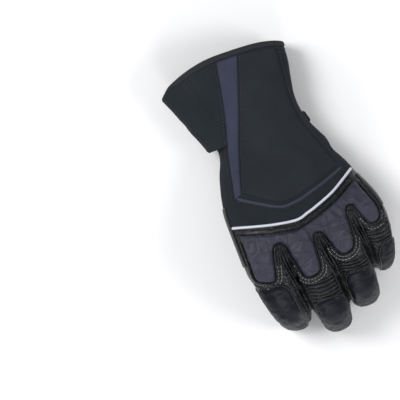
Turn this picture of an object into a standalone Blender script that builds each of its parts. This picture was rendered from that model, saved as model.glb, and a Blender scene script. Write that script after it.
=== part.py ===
"""Ski glove for the left hand, lying palm down with its fingers curled on to the surface.

A padded hand shell carries four finger stalls and a thumb stall, a wide gauntlet closes round the
wrist, and the pieces of the back lie on them: knuckle pad, piping, welts, stripe and fingertip caps.
+Y points to the fingertips, +X to the thumb side and +Z up, out of the back of the hand.
"""
import math

import bmesh
import bpy
import numpy as np
from mathutils import Vector
from mathutils.bvhtree import BVHTree

# Driving sizes, in metres
PALM_WIDTH = 0.131
CUFF_LENGTH = 0.0925
HAND_LENGTH = 0.098
KNUCKLE_HEIGHT = 0.079
INDEX_REACH = 0.063
MIDDLE_REACH = 0.0785
RING_REACH = 0.0685
LITTLE_REACH = 0.0465
THUMB_LENGTH = 0.092
THUMB_WIDTH = 0.030
CUFF_WALL = 0.0025
HAND_WALL = 0.0035
FINGER_WALL = 0.0032
BINDING_WIDTH = 0.0045
BINDING_SWELL = 0.0006
PIPING_RADIUS = 0.00125
TRIM_WIDTH = 0.0024
SEAM_BAND_WIDTH = 0.0046
PANEL_THICKNESS = 0.0009
PAD_EDGE = 0.0010
PAD_CROWN = 0.0038
CAP_CROWN = 0.0019
INDEX_PANEL_CROWN = 0.0013
WELT_WIDTH = 0.0120
WELT_EDGE = 0.0014
STRAP_THICKNESS = 0.0026
STRAP_STANDOFF = 0.0058
CLIP_LENGTH = 0.0185
CLIP_WIDTH = 0.0118
CLIP_THICKNESS = 0.0022
CLIP_BAR = 0.0026
CLIP_SLOT = 0.0022
CLIP_EYE = 0.0036
CLIP_TAB = 0.012
CLIP_PLACE = (-23.6, -14.2)
CLIP_TURN = -73
WEBBING = 0.0008

# Clearances and slopes
SEAM_GAP = 0.0003
LAY_GAP = 0.0006
STEEP_GAP = 0.0009
STRIP_LIFT = 0.0002
CROTCH_SLANT = 0.105
RIM_SWEEP = 0.016
RIM_LITTLE_SHARE = 0.4
GROOVE_DEPTH = 0.005
VALLEY_SAG = 0.0012
VALLEY_SPAN = 0.009
PAD_SAG = 0.0005
PLEAT_HEIGHT = 0.0010
GATHER_HEIGHT = 0.0009
SAME_SPOT = 0.00005
CROWN_RUN = 0.010
SETTLE_PASSES = 6
TIP_DOMES = (0.42, 0.78)
THUMB_TIP_DOMES = (0.45, 0.82)
THUMB_TIP_LENGTH = 0.42
# Where each triangle of a laid piece is held clear of the shells, as weights of its three corners
TRIANGLE_SPOTS = ((1, 1, 1), (2, 2, 0), (0, 2, 2), (2, 0, 2), (4, 1, 1), (1, 4, 1), (1, 1, 4),
                  (3, 1, 0), (1, 3, 0), (0, 3, 1), (0, 1, 3), (3, 0, 1), (1, 0, 3))

# Facets
AROUND_BODY = 38
AROUND_FINGER = 20
WRAP_STEPS = 7

# Outline and profile of the cuff and hand.
# Columns: station (-100 at the rim, 0 at the wrist, 100 at the finger crotch), little and thumb
# side in hundredths of the palm's width, heights of the palm, of the back and of the widest line in
# hundredths of the knuckle height, and the exponent of the section.
BODY = (
    (-100, -30.0, 60.6, 3.0, 55, 25, 2.5),
    (-81, -29.4, 55.4, 2.6, 57, 26, 2.5),
    (-60, -27.2, 51.2, 2.6, 57, 26, 2.5),
    (-38, -25.7, 45.8, 2.6, 56, 26, 2.5),
    (-25, -26.6, 41.2, 2.6, 56, 26, 2.5),
    (-11, -29.6, 37.0, 2.6, 56, 26, 2.5),
    (0, -33.4, 38.4, 3.6, 58, 28, 2.5),
    (10, -37.2, 41.4, 6.0, 61, 31, 2.5),
    (20, -38.4, 43.6, 10.0, 66, 36, 2.5),
    (33, -43.7, 45.8, 17.0, 73, 43, 2.5),
    (51, -49.2, 47.3, 27.0, 83, 53, 2.5),
    (66, -53.6, 47.0, 36.0, 91, 62, 2.6),
    (83, -57.0, 46.4, 43.0, 97, 69, 2.7),
    (100, -58.8, 45.8, 46.0, 98, 71, 2.8),
)
CUFF_FLOOR = 0.0031

# Each finger at the crotch: name, little and thumb side in hundredths of the palm's width, reach,
# back and palm in hundredths of the knuckle height, how far its tip leans across in hundredths of
# the palm's width, as that power of the run, and the number of its flex pleats.
FINGERS = (
    ("index", 16.25, 45.6, INDEX_REACH, 96.0, 47.0, -8.6, 1.3, 0),
    ("middle", -11.3, 15.75, MIDDLE_REACH, 100.0, 47.0, -6.2, 1.2, 4),
    ("ring", -36.8, -11.8, RING_REACH, 97.5, 46.5, -3.2, 1.1, 4),
    ("little", -58.9, -37.4, LITTLE_REACH, 90.0, 46.0, 2.2, 3.0, 3),
)
# The curl of a finger: share of the run from mouth to tip centre, height of the centre and depth
# as shares of those at the mouth, and each finger's width as a share of its width at the mouth.
CURL_COLUMNS = ("along", "height", "depth", "index", "middle", "ring", "little")
CURL = (
    (0.00, 1.00, 1.00, 1.00, 1.00, 1.00, 1.00),
    (0.30, 0.99, 0.94, 0.94, 0.97, 0.98, 0.97),
    (0.62, 0.85, 0.86, 0.90, 0.96, 0.97, 0.87),
    (0.88, 0.59, 0.80, 0.86, 0.92, 0.95, 0.80),
    (1.00, 0.24, 0.75, 0.76, 0.83, 0.89, 0.78),
)
PLEAT_FROM = 0.34
PLEAT_TO = 0.74

# Soft dents of the cuff and wrist: place in plan, half length, half width and turn in degrees
# of the crease, with lengths in hundredths of the palm's width, and depth in hundredths of it.
DENTS = (
    (-20, -57, 10, 3.2, -48, 1.3),
    (-22, 10, 11, 3.5, -60, 1.4),
    (-28, 22, 9, 3.0, -50, 1.1),
    (37, 22, 9, 4.0, 80, 0.9),
)


def plan(x, y):
    """Place in plan of x, in hundredths of the palm's width, and y, the station along the glove."""
    if y < 0:
        along = y * CUFF_LENGTH / 100
    elif y < 100:
        along = y * HAND_LENGTH / 100
    else:
        along = HAND_LENGTH + (y - 100) * MIDDLE_REACH / 100
    return np.array((x * PALM_WIDTH / 100, along))


def row_at(table, at):
    """All columns of a table at one value of its first column, on a smooth curve through the rows."""
    rows = np.array(table, dtype=float)
    keys = rows[:, 0]
    slopes = np.gradient(rows, keys, axis=0)
    at = min(max(at, keys[0]), keys[-1])
    low = min(int(np.searchsorted(keys, at, side="right")) - 1, len(keys) - 2)
    step = keys[low + 1] - keys[low]
    t = (at - keys[low]) / step
    return ((2 * t**3 - 3 * t**2 + 1) * rows[low] + (t**3 - 2 * t**2 + t) * step * slopes[low]
            + (3 * t**2 - 2 * t**3) * rows[low + 1] + (t**3 - t**2) * step * slopes[low + 1])


def ramp(value, low, high):
    t = min(max((value - low) / (high - low), 0.0), 1.0)
    return t * t * (3 - 2 * t)


def power(value, exponent):
    return math.copysign(abs(value) ** exponent, value)


def crotch(x):
    """Station line of the finger crotch at x metres."""
    return HAND_LENGTH + CROTCH_SLANT * x


def arch(x, low, high, bottom, top, square, upper):
    """Height of a rounded-box section at x, on its upper or lower side, or None beside it."""
    share = (2 * x - low - high) / (high - low)
    if abs(share) >= 1:
        return None
    half = (top - bottom) / 2 * (1 - abs(share) ** square) ** (1 / square)
    return (top + bottom) / 2 + (half if upper else -half)


def mouths(x, upper):
    """Height of the row of finger mouths at x: their outermost line."""
    heights = []
    for name, little, thumb, reach, back, palm, *curl in FINGERS:
        z = arch(x, little * PALM_WIDTH / 100, thumb * PALM_WIDTH / 100,
                 palm * KNUCKLE_HEIGHT / 100, back * KNUCKLE_HEIGHT / 100, 2.8, upper)
        if z is not None:
            heights.append(z)
    if not heights:
        return None
    return max(heights) if upper else min(heights)


def dented(x, y):
    """Depth of the soft creases at a place in plan, metres."""
    depth = 0.0
    for px, py, length, width, turn, deep in DENTS:
        cx, cy = plan(px, py)
        a = math.radians(turn)
        u = ((x - cx) * math.cos(a) + (y - cy) * math.sin(a)) / (length * PALM_WIDTH / 100)
        v = (-(x - cx) * math.sin(a) + (y - cy) * math.cos(a)) / (width * PALM_WIDTH / 100)
        depth += deep * PALM_WIDTH / 100 * math.exp(-u * u - v * v)
    return depth


def body_point(station, angle, out):
    """Point of the cuff or hand at a station and an angle from the thumb side, pushed out."""
    _, little, thumb, palm, back, widest, square = row_at(BODY, station)
    x0 = little * PALM_WIDTH / 100
    x1 = thumb * PALM_WIDTH / 100
    low = palm * KNUCKLE_HEIGHT / 100
    top = back * KNUCKLE_HEIGHT / 100
    middle = widest * KNUCKLE_HEIGHT / 100
    c = power(math.cos(angle), 2 / square)
    s = power(math.sin(angle), 2 / square)
    under = (x0 + x1) / 2 + (x1 - x0) / 2 * c
    x = under + out * c
    z = middle + (top - middle if s > 0 else middle - low) * s
    y = plan(0, station)[1]
    sweep = c * c if c > 0 else RIM_LITTLE_SHARE * c**4
    y += RIM_SWEEP * ramp(-station, 20, 100) * sweep + CROTCH_SLANT * ramp(station, 45, 100) * x
    fade = ramp(station, 80, 100)
    target = mouths(under, s > 0)
    if fade > 0 and target is not None:
        rise = min(max(target - z, -GROOVE_DEPTH), GROOVE_DEPTH)
        z += fade * rise * min(1.0, 2.5 * abs(s))
    if s > 0:
        z -= dented(x, y) * min(1.0, 2 * s)
    z += out * s
    if station < 14 and s < 0:
        z = max(z, CUFF_FLOOR - out)
    return np.array((x, y, z))


def gathers(station):
    """Elastic gathers across the palm side of the wrist."""
    return GATHER_HEIGHT * math.sin(station * math.pi / 4) * ramp(24 - abs(station + 2), 0, 10)


def body_ring(station, out, count=AROUND_BODY):
    ring = []
    for k in range(count):
        angle = 2 * math.pi * k / count
        puff = gathers(station) * max(0.0, -math.sin(angle)) if out == 0 else 0.0
        ring.append(body_point(station, angle, out + puff))
    return np.array(ring)


def finish(mesh_data, name, colour, roughness, smooth=True):
    """Object of a built bmesh with its own material, in the glove's collection."""
    bmesh.ops.recalc_face_normals(mesh_data, faces=mesh_data.faces)
    mesh = bpy.data.meshes.new(name)
    mesh_data.to_mesh(mesh)
    mesh_data.free()
    if smooth:
        mesh.shade_smooth()
        mesh.set_sharp_from_angle(angle=math.radians(50))
    return place(bpy.data.objects.new(name, mesh), colour, roughness)


def place(item, colour, roughness):
    material = bpy.data.materials.new(item.name)
    material.use_nodes = True
    surface = material.node_tree.nodes["Principled BSDF"]
    surface.inputs["Base Color"].default_value = (*colour, 1)
    surface.inputs["Roughness"].default_value = roughness
    surface.inputs["Metallic"].default_value = 0.0
    item.data.materials.append(material)
    glove.objects.link(item)
    return item


def loft(name, rings, colour, roughness, poles=None):
    """Closed solid through rings of equal count: a ring-shaped tube, or closed at two poles."""
    bm = bmesh.new()
    grid = [[bm.verts.new(p) for p in ring] for ring in rings]
    count = len(grid[0])
    steps = len(grid) if poles is None else len(grid) - 1
    for i in range(steps):
        here = grid[i]
        there = grid[(i + 1) % len(grid)]
        for k in range(count):
            n = (k + 1) % count
            bm.faces.new((here[k], here[n], there[n], there[k]))
    if poles is not None:
        for ring, pole in ((grid[0], poles[0]), (grid[-1], poles[1])):
            tip = bm.verts.new(pole)
            for k in range(count):
                bm.faces.new((ring[k], ring[(k + 1) % count], tip))
    return finish(bm, name, colour, roughness)


def stations(low, high, count):
    return [low + (high - low) * k / (count - 1) for k in range(count)]


# Colours
BLACK_LEATHER = (0.013, 0.015, 0.016)
NAVY_LEATHER = (0.055, 0.055, 0.085)
CHARCOAL_CLOTH = (0.026, 0.032, 0.038)
NAVY_CLOTH = (0.060, 0.066, 0.110)
PIPING_GREY = (0.68, 0.70, 0.80)
STRAP_NAVY = (0.066, 0.085, 0.110)
PLASTIC_BLACK = (0.010, 0.010, 0.011)

for item in list(bpy.data.objects):
    bpy.data.objects.remove(item, do_unlink=True)
glove = bpy.data.collections.new("ski_glove")
bpy.context.scene.collection.children.link(glove)
cutters = bpy.data.collections.new("cutters")
bpy.context.scene.collection.children.link(cutters)


def make_gauntlet():
    """Wide tube of softshell from the rim to the wrist, open at both ends."""
    binding = BINDING_WIDTH + SEAM_GAP
    near = -100 + 100 * binding / CUFF_LENGTH
    far = -50 * SEAM_GAP / CUFF_LENGTH
    outer = [body_ring(s, 0) for s in stations(near, far, 13)]
    inner = [body_ring(s, -CUFF_WALL) for s in stations(far, near, 6)]
    loft("gauntlet", outer + inner, CHARCOAL_CLOTH, 0.85)


def make_binding():
    """Folded band that closes the edge of the rim."""
    near = -100
    far = -100 + 100 * BINDING_WIDTH / CUFF_LENGTH
    rings = [
        body_ring(near, BINDING_SWELL * 0.3, AROUND_BODY),
        body_ring((near + far) / 2, BINDING_SWELL, AROUND_BODY),
        body_ring(far, BINDING_SWELL * 0.5, AROUND_BODY),
        body_ring(far, -CUFF_WALL - BINDING_SWELL * 0.5, AROUND_BODY),
        body_ring((near + far) / 2, -CUFF_WALL - BINDING_SWELL, AROUND_BODY),
        body_ring(near, -CUFF_WALL - BINDING_SWELL * 0.3, AROUND_BODY),
    ]
    loft("cuff_binding", rings, BLACK_LEATHER, 0.6)


def make_hand():
    """Padded shell from the wrist to the finger crotch, open at both ends."""
    near = 50 * SEAM_GAP / HAND_LENGTH
    outer = [body_ring(s, 0) for s in stations(near, 78, 12) + [85, 91, 96, 100]]
    inner = [body_ring(s, -HAND_WALL) for s in [100, 90] + stations(78, near, 6)]
    return loft("hand_shell", outer + inner, BLACK_LEATHER, 0.55)


def finger_ring(finger, t, out, gap):
    """Ring of a finger stall at share t of its run, pushed out, and the way its run points there."""
    name, little, thumb, reach, back, palm, lean, bend, pleats = finger
    width = (thumb - little) * PALM_WIDTH / 200
    depth = (back - palm) * KNUCKLE_HEIGHT / 200
    centre_x = (thumb + little) * PALM_WIDTH / 200
    centre_z = (back + palm) * KNUCKLE_HEIGHT / 200
    column = CURL_COLUMNS.index(name)
    run = reach - 0.94 * depth * CURL[-1][2]

    def centre(share):
        row = row_at(CURL, share)
        return np.array((centre_x + lean * PALM_WIDTH / 100 * share**bend,
                         crotch(centre_x) + gap + run * share, centre_z * row[1]))

    row = row_at(CURL, t)
    wide = width * row[column] + out
    deep = depth * row[2] + out
    step = 0.01
    way = centre(min(t + step, 1.0)) - centre(max(t - step, 0.0))
    way[0] = 0
    way /= np.linalg.norm(way)
    settle = ramp(t, 0.0, 0.25)
    way = way * settle + np.array((0.0, 1.0, 0.0)) * (1 - settle)
    way /= np.linalg.norm(way)
    up = np.array((0.0, -way[2], way[1]))
    square = 2.8 - 0.55 * t
    middle = centre(t)
    crease = 0.0
    if pleats and PLEAT_FROM <= t <= PLEAT_TO:
        turn = (t - PLEAT_FROM) / (PLEAT_TO - PLEAT_FROM) * pleats
        crease = PLEAT_HEIGHT * (0.5 - 0.5 * math.cos(2 * math.pi * turn))
    ring = []
    for k in range(AROUND_FINGER):
        angle = 2 * math.pi * k / AROUND_FINGER
        c = power(math.cos(angle), 2 / square)
        s = power(math.sin(angle), 2 / square)
        lift = crease * max(0.0, math.sin(angle)) ** 0.5 if out == 0 else 0.0
        point = middle + np.array((wide * c, 0, 0)) + up * (deep + lift) * s
        point[1] += CROTCH_SLANT * wide * c * (1 - settle)
        ring.append(point)
    return ring, middle, way


def floored(points, floor):
    return [np.array((p[0], p[1], max(p[2], floor))) for p in points]


def finger_skin(finger, out, gap, shares):
    """Rings of one skin of a stall from mouth to tip, and the tip's own point."""
    rings = []
    floor = -out
    for t in shares:
        ring, middle, way = finger_ring(finger, t, out, gap)
        rings.append(floored(ring, floor))
    ring, middle, way = finger_ring(finger, 1.0, out, gap)
    length = (finger[4] - finger[5]) * KNUCKLE_HEIGHT / 200 * CURL[-1][2] + out
    for dome in TIP_DOMES:
        shrink = math.sqrt(1 - dome * dome)
        cap = [middle + (p - middle) * shrink + way * length * dome for p in ring]
        rings.append(floored(cap, floor))
    pole = floored([middle + way * length], floor)[0]
    return rings, pole


def make_finger(finger):
    """Finger stall, open towards the hand, closed and rounded at its tip."""
    pleats = finger[8]
    shares = [0.0, 0.12, 0.24]
    if pleats:
        shares += stations(PLEAT_FROM, PLEAT_TO, 2 * pleats + 1)
    else:
        shares += [0.36, 0.5, 0.62, 0.74]
    shares += [0.88, 1.0]
    outer, tip = finger_skin(finger, 0.0, SEAM_GAP, shares)
    inner, end = finger_skin(finger, -FINGER_WALL, SEAM_GAP, [0.0, 0.4, 0.75, 1.0])
    return loft(finger[0] + "_stall", inner[::-1] + outer, BLACK_LEATHER, 0.5, (end, tip))


# The thumb stall lies under the index side. Each row is a ring of it, from its mouth in the palm:
# place of its top and bottom in shares of the thumb's length, their heights and its width in shares
# of the thumb's width. The mouth's heights come from the palm above it.
THUMB = (
    (0.36, 0.00, None, None, 0.96),
    (0.42, 0.07, 0.66, 0.06, 1.00),
    (0.50, 0.20, 0.76, 0.00, 1.00),
    (0.62, 0.42, 0.84, 0.00, 0.99),
    (0.78, 0.70, 0.84, 0.00, 0.94),
    (0.90, 0.90, 0.76, 0.00, 0.86),
)
THUMB_ROOT = (25.5, 13.0)
THUMB_LEAN = 6.5


def thumb_skin(out, under):
    """Rings of one skin of the thumb stall, the first one laid against the palm above it."""
    root_x, root_y = plan(*THUMB_ROOT)
    rings = []
    for index, (top_y, low_y, top_z, low_z, wide) in enumerate(THUMB):
        t = (top_y + low_y) / 2
        middle_x = root_x + THUMB_LEAN * PALM_WIDTH / 100 * math.sin(math.pi * min(1.0, t * 0.9))
        half = wide * THUMB_WIDTH / 2 + out
        y_mid = root_y + THUMB_LENGTH * (top_y + low_y) / 2
        y_half = THUMB_LENGTH * (top_y - low_y) / 2
        ring = []
        for k in range(AROUND_FINGER):
            angle = 2 * math.pi * k / AROUND_FINGER
            x = middle_x + half * math.cos(angle)
            s = math.sin(angle)
            if index == 0:
                y = y_mid + (y_half + out) * s
                z = under(x, y) - SEAM_GAP
            else:
                length = math.hypot(y_half, (top_z - low_z) * THUMB_WIDTH / 2)
                grow = (length + out) / length
                y = y_mid + y_half * s * grow
                z = (top_z + low_z) * THUMB_WIDTH / 2 + (top_z - low_z) * THUMB_WIDTH / 2 * s * grow
            ring.append(np.array((x, y, max(z, -out))))
        rings.append(ring)
    last = np.array(rings[-1])
    middle = last.mean(axis=0)
    length = THUMB_WIDTH * THUMB_TIP_LENGTH + out
    for dome in THUMB_TIP_DOMES:
        shrink = math.sqrt(1 - dome * dome)
        rings.append([middle + (p - middle) * shrink + np.array((0, length * dome, 0)) for p in last])
    return rings, middle + np.array((0, length, 0))


def underside(item):
    """Height of an object's lowest surface over a place in plan."""
    tree = BVHTree.FromObject(item, bpy.context.evaluated_depsgraph_get())

    def under(x, y):
        return tree.ray_cast(Vector((x, y, -0.1)), Vector((0, 0, 1)))[0].z

    return under


def make_thumb(hand):
    """Thumb stall under the index side, and the hole in the palm that it opens from."""
    under = underside(hand)
    outer, tip = thumb_skin(0.0, under)
    inner, end = thumb_skin(-FINGER_WALL, under)
    loft("thumb_stall", inner[::-1] + outer, BLACK_LEATHER, 0.55, (end, tip))
    bm = bmesh.new()
    mouth = inner[0]
    low = [bm.verts.new((p[0], p[1], p[2] - HAND_WALL)) for p in mouth]
    high = [bm.verts.new((p[0], p[1], p[2] + 4 * HAND_WALL)) for p in mouth]
    count = len(mouth)
    for k in range(count):
        n = (k + 1) % count
        bm.faces.new((low[k], low[n], high[n], high[k]))
    for ring in (low, high):
        centre = bm.verts.new(sum((v.co for v in ring), Vector()) / count)
        for k in range(count):
            bm.faces.new((ring[k], ring[(k + 1) % count], centre))
    bmesh.ops.recalc_face_normals(bm, faces=bm.faces)
    mesh = bpy.data.meshes.new("thumb_hole")
    bm.to_mesh(mesh)
    bm.free()
    cutter = bpy.data.objects.new("thumb_hole", mesh)
    cutter.hide_render = True
    cutter.display_type = "WIRE"
    cutters.objects.link(cutter)
    cut = hand.modifiers.new("thumb_hole", "BOOLEAN")
    cut.operation = "DIFFERENCE"
    cut.object = cutter


make_gauntlet()
make_binding()
hand_shell = make_hand()
stalls = [make_finger(finger) for finger in FINGERS]
make_thumb(hand_shell)


class Surface:
    """Upper surface of the shells that the panels of the back lie on."""

    def __init__(self, items):
        graph = bpy.context.evaluated_depsgraph_get()
        self.trees = [BVHTree.FromObject(item, graph) for item in items]

    def hit(self, x, y):
        """Highest shell just before and just behind a place, so that a seam's gap doesn't count."""
        best = None
        for tree in self.trees:
            for beside in (y - SEAM_GAP, y + SEAM_GAP):
                found = tree.ray_cast(Vector((x, beside, 0.3)), Vector((0, 0, -1)))[0]
                if found is not None and (best is None or found.z > best):
                    best = found.z
        return best

    def height(self, x, y, sag):
        """Height at a place in plan, with a panel's sag over the valley between two fingers."""
        own = self.hit(x, y)
        left = self.hit(x - VALLEY_SPAN / 2, y)
        right = self.hit(x + VALLEY_SPAN / 2, y)
        if left is None or right is None:
            return own
        bridge = min(left, right) - sag
        return bridge if own is None else max(own, bridge)

    def frame(self, x, y, sag=VALLEY_SAG):
        """Point and outward direction at a place in plan."""
        z = self.height(x, y, sag)
        if z is None:
            raise ValueError(f"no shell under {x * 1000:.1f}, {y * 1000:.1f} mm")
        step = 0.002
        slope = []
        for dx, dy in ((step, 0), (0, step)):
            ahead = self.height(x + dx, y + dy, sag)
            behind = self.height(x - dx, y - dy, sag)
            if ahead is None or ahead < z - 4 * step:
                ahead = z - (behind - z) if behind is not None else z
            if behind is None or behind < z - 4 * step:
                behind = z - (ahead - z)
            slope.append((ahead - behind) / (2 * step))
        normal = np.array((-slope[0], -slope[1], 1.0))
        return np.array((x, y, z)), normal / np.linalg.norm(normal)


def settle(triangles, bases, surface):
    """Lifts the corners of each triangle just enough that it clears the shells all over."""
    for triangle in triangles:
        for shares in TRIANGLE_SPOTS:
            weights = [share / sum(shares) for share in shares]
            spot = sum(w * bases[k] for w, k in zip(weights, triangle))
            under = surface.hit(spot[0], spot[1])
            if under is not None and under + LAY_GAP > spot[2]:
                short = (under + LAY_GAP - spot[2]) / sum(w * w for w in weights)
                for w, k in zip(weights, triangle):
                    bases[k] = bases[k] + np.array((0, 0, short * w))


def drape(name, cells, edge, crown, colour, roughness, surface, gap=LAY_GAP, sag=VALLEY_SAG):
    """Panel laid on the shells: four-cornered cells in plan, thin at its edge and full inside."""
    spots = []
    quads = []
    for cell in cells:
        quad = []
        for p in cell:
            same = [k for k, q in enumerate(spots) if abs(p[0] - q[0]) + abs(p[1] - q[1]) < SAME_SPOT]
            if not same:
                same = [len(spots)]
                spots.append(p)
            quad.append(same[0])
        quads.append(quad)
    sides = {}
    for quad in quads:
        for a, b in zip(quad, quad[1:] + quad[:1]):
            key = (min(a, b), max(a, b))
            sides[key] = sides.get(key, 0) + 1
    border = [key for key, used in sides.items() if used == 1]

    def inset(p):
        near = 1.0
        for a, b in border:
            pa = spots[a]
            ab = spots[b] - pa
            t = min(max(np.dot(p - pa, ab) / np.dot(ab, ab), 0), 1)
            near = min(near, np.linalg.norm(p - pa - ab * t))
        return near

    bases = []
    normals = []
    for p in spots:
        base, normal = surface.frame(p[0], p[1], sag)
        bases.append(base + normal * gap)
        normals.append(normal)
    triangles = [half for a, b, c, d in quads for half in ((a, b, c), (a, c, d))]
    for _ in range(SETTLE_PASSES):
        settle(triangles, bases, surface)
    bm = bmesh.new()
    lower = [bm.verts.new(base) for base in bases]
    upper = []
    for p, base, normal in zip(spots, bases, normals):
        share = min(1.0, inset(p) / CROWN_RUN)
        thick = edge + (crown - edge) * math.sqrt(1 - (1 - share) ** 2)
        upper.append(bm.verts.new(base + normal * thick))
    for triangle in triangles:
        bm.faces.new([upper[k] for k in triangle])
        bm.faces.new([lower[k] for k in reversed(triangle)])
    for quad in quads:
        for a, b in zip(quad, quad[1:] + quad[:1]):
            if sides[(min(a, b), max(a, b))] == 1:
                bm.faces.new((upper[b], upper[a], lower[a], lower[b]))
    return finish(bm, name, colour, roughness)


def along(points, share):
    """Point at a share of a path's length, the path drawn smoothly through its points."""
    fine = path(points)
    steps = np.linalg.norm(np.diff(fine, axis=0), axis=1)
    run = np.concatenate(([0.0], np.cumsum(steps)))
    at = share * run[-1]
    return np.array((np.interp(at, run, fine[:, 0]), np.interp(at, run, fine[:, 1])))


def path(points):
    """Fine smooth path in plan through points given as x share and station."""
    flat = [(k, *plan(*p)) for k, p in enumerate(points)]
    if len(flat) == 2:
        return np.array([flat[0][1:], flat[1][1:]])
    return np.array([row_at(flat, k)[1:] for k in np.linspace(0, len(flat) - 1, 8 * len(flat))])


def patch(first, last, near, far, across, down):
    """Cells of a panel between four edges that meet: first and last run across, near and far down."""
    grid = []
    for j in range(down + 1):
        v = j / down
        row = []
        for i in range(across + 1):
            u = i / across
            a, b = along(first, u), along(last, u)
            c, d = along(near, v), along(far, v)
            corner = ((1 - u) * (1 - v) * along(first, 0) + u * (1 - v) * along(first, 1)
                      + (1 - u) * v * along(last, 0) + u * v * along(last, 1))
            row.append((1 - v) * a + v * b + (1 - u) * c + u * d - corner)
        grid.append(row)
    return cells_of(grid)


def cells_of(grid):
    cells = []
    for upper, lower in zip(grid, grid[1:]):
        for i in range(len(upper) - 1):
            cells.append((upper[i], upper[i + 1], lower[i + 1], lower[i]))
    return cells


def ribbon(points, width, count, across=1, shares=None):
    """Cells of a band of one width, or of a width that follows shares, along a path in plan."""
    grid = []
    for j in range(count + 1):
        v = j / count
        here = along(points, v)
        way = along(points, min(v + 0.01, 1)) - along(points, max(v - 0.01, 0))
        side = np.array((-way[1], way[0])) / np.linalg.norm(way)
        wide = width * (np.interp(v, np.linspace(0, 1, len(shares)), shares) if shares else 1.0)
        grid.append([here + side * wide * (i / across - 0.5) for i in range(across + 1)])
    return cells_of(grid)


def disc(centre, half_x, half_y, count):
    """Cells of a rounded patch: a square grid bent to an ellipse."""
    grid = []
    for j in range(count + 1):
        v = 2 * j / count - 1
        row = []
        for i in range(count + 1):
            u = 2 * i / count - 1
            x = u * math.sqrt(1 - 0.42 * v * v)
            y = v * math.sqrt(1 - 0.42 * u * u)
            row.append(plan(*centre) + np.array((x * half_x, y * half_y)))
        grid.append(row)
    return cells_of(grid)


def rim_spot(x):
    """Place on the line where the binding ends, at x in hundredths of the palm's width."""
    _, little, thumb = row_at(BODY, -95)[:3]
    share = (2 * x - little - thumb) / (thumb - little)
    sweep = share * share if share > 0 else RIM_LITTLE_SHARE * share**4
    inset = RIM_SWEEP * sweep + BINDING_WIDTH + 3 * SEAM_GAP
    return x, -100 + 100 * inset / CUFF_LENGTH


# Edges of the cuff's stripe and back panel, and the lines across the back of the hand
STRIPE_LITTLE_EDGE = (rim_spot(3.4), (15.0, -42), (23.0, -7.5), (32.0, 32))
STRIPE_THUMB_EDGE = (rim_spot(18.5), (24.4, -42), (29.8, -7.5), (36.2, 35))
PANEL_RIM_EDGE = (rim_spot(2.4), rim_spot(-8), rim_spot(-16), rim_spot(-23))
PANEL_THUMB_EDGE = (rim_spot(2.4), (14.0, -42), (22.0, -7.5), (31.0, 33))
PANEL_LITTLE_EDGE = (rim_spot(-23), (-21.5, -60), (-20.5, -38), (-23.5, -12), (-31, 15), (-37.5, 37))
PANEL_LOWER_EDGE = ((31.0, 33), (19.0, 44.5), (7.0, 52.5), (-4.5, 51.5), (-14, 48), (-24, 44),
                    (-37.5, 37))
TRIM_LINE = ((34.8, 36.5), (20.5, 48.6), (8.0, 56.5), (-4.6, 55.4), (-14.0, 51.8), (-24.5, 47.4),
             (-39.5, 39.8))
PIPING_LINE = ((45.0, 60.7), (30.5, 65.8), (16.0, 70.0), (1.5, 72.2), (-7.0, 69.2), (-15.0, 65.6),
               (-27.0, 59.0), (-37.0, 51.0), (-46.0, 43.0))
SEAM_BAND_LINE = ((44.0, 65.8), (30.5, 71.0), (16.5, 75.4), (1.5, 77.6), (-8.5, 74.2), (-17.0, 70.3),
                  (-29.0, 63.5), (-38.5, 56.0), (-46.5, 49.0))

# Knuckle pad: its edge towards the wrist, the line of the slot tops, and the lobe of each finger
PAD_WRIST_EDGE = ((41.5, 71.5), (21.4, 79.4), (4.2, 83.6), (-15.3, 77.0), (-29.8, 69.6), (-44.3, 58.5))
SLOT_LINE = ((40.2, 90.8), (24.4, 90.8), (18.3, 86.2), (13.4, 92.9), (-3.8, 92.9), (-9.2, 87.8),
             (-13.4, 95.9), (-31.3, 79.6), (-35.5, 73.5), (-39.3, 79.6), (-52.0, 80.6))
SLOT_COLUMNS = (4, 1, 1, 4, 1, 1, 4, 1, 1, 3)
LOBES = (
    (0, ((40.2, 90.8), (38.9, 116.0)), ((24.4, 90.8), (25.7, 103.8), (29.8, 119.5)),
     ((38.9, 116.0), (34.8, 121.4), (29.8, 119.5)), 4),
    (3, ((13.4, 92.9), (13.4, 103.8), (8.6, 126.0)), ((-3.8, 92.9), (-2.7, 107.7), (-1.8, 124.5)),
     ((8.6, 126.0), (3.8, 131.0), (-1.8, 124.5)), 4),
    (6, ((-13.4, 95.9), (-14.5, 105.0), (-17.6, 117.0)), ((-31.3, 79.6), (-30.5, 91.8), (-28.8, 112.5)),
     ((-17.6, 117.0), (-23.2, 120.5), (-28.8, 112.5)), 4),
    (9, ((-39.3, 79.6), (-42.0, 88.8), (-45.0, 95.2)), ((-52.0, 80.6), (-52.4, 86.7), (-50.8, 93.5)),
     ((-45.0, 95.2), (-48.0, 97.5), (-50.8, 93.5)), 2),
)
WELTS = (
    ((18.9, 92.0), (18.7, 102.0), (17.8, 114.0), (16.2, 128.0), (14.8, 141.0)),
    ((-8.6, 94.0), (-8.4, 104.0), (-9.6, 116.0), (-11.6, 129.0), (-13.0, 141.0)),
    ((-35.5, 79.5), (-35.8, 88.0), (-36.9, 98.0), (-38.3, 109.0), (-39.4, 119.0)),
)
WELT_SHARES = (0.66, 0.90, 1.0, 0.80, 0.5)
# Fingertip caps: name, reach of the finger, centre across in hundredths of the palm's width and
# along in shares of the reach, half width and half length in hundredths of the palm's width.
CAPS = (
    ("middle_cap", MIDDLE_REACH, -1.8, 0.800, 8.4, 9.2),
    ("ring_cap", RING_REACH, -27.2, 0.665, 8.2, 8.6),
    ("little_cap", LITTLE_REACH, -47.6, 0.414, 4.6, 6.6),
)
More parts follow.
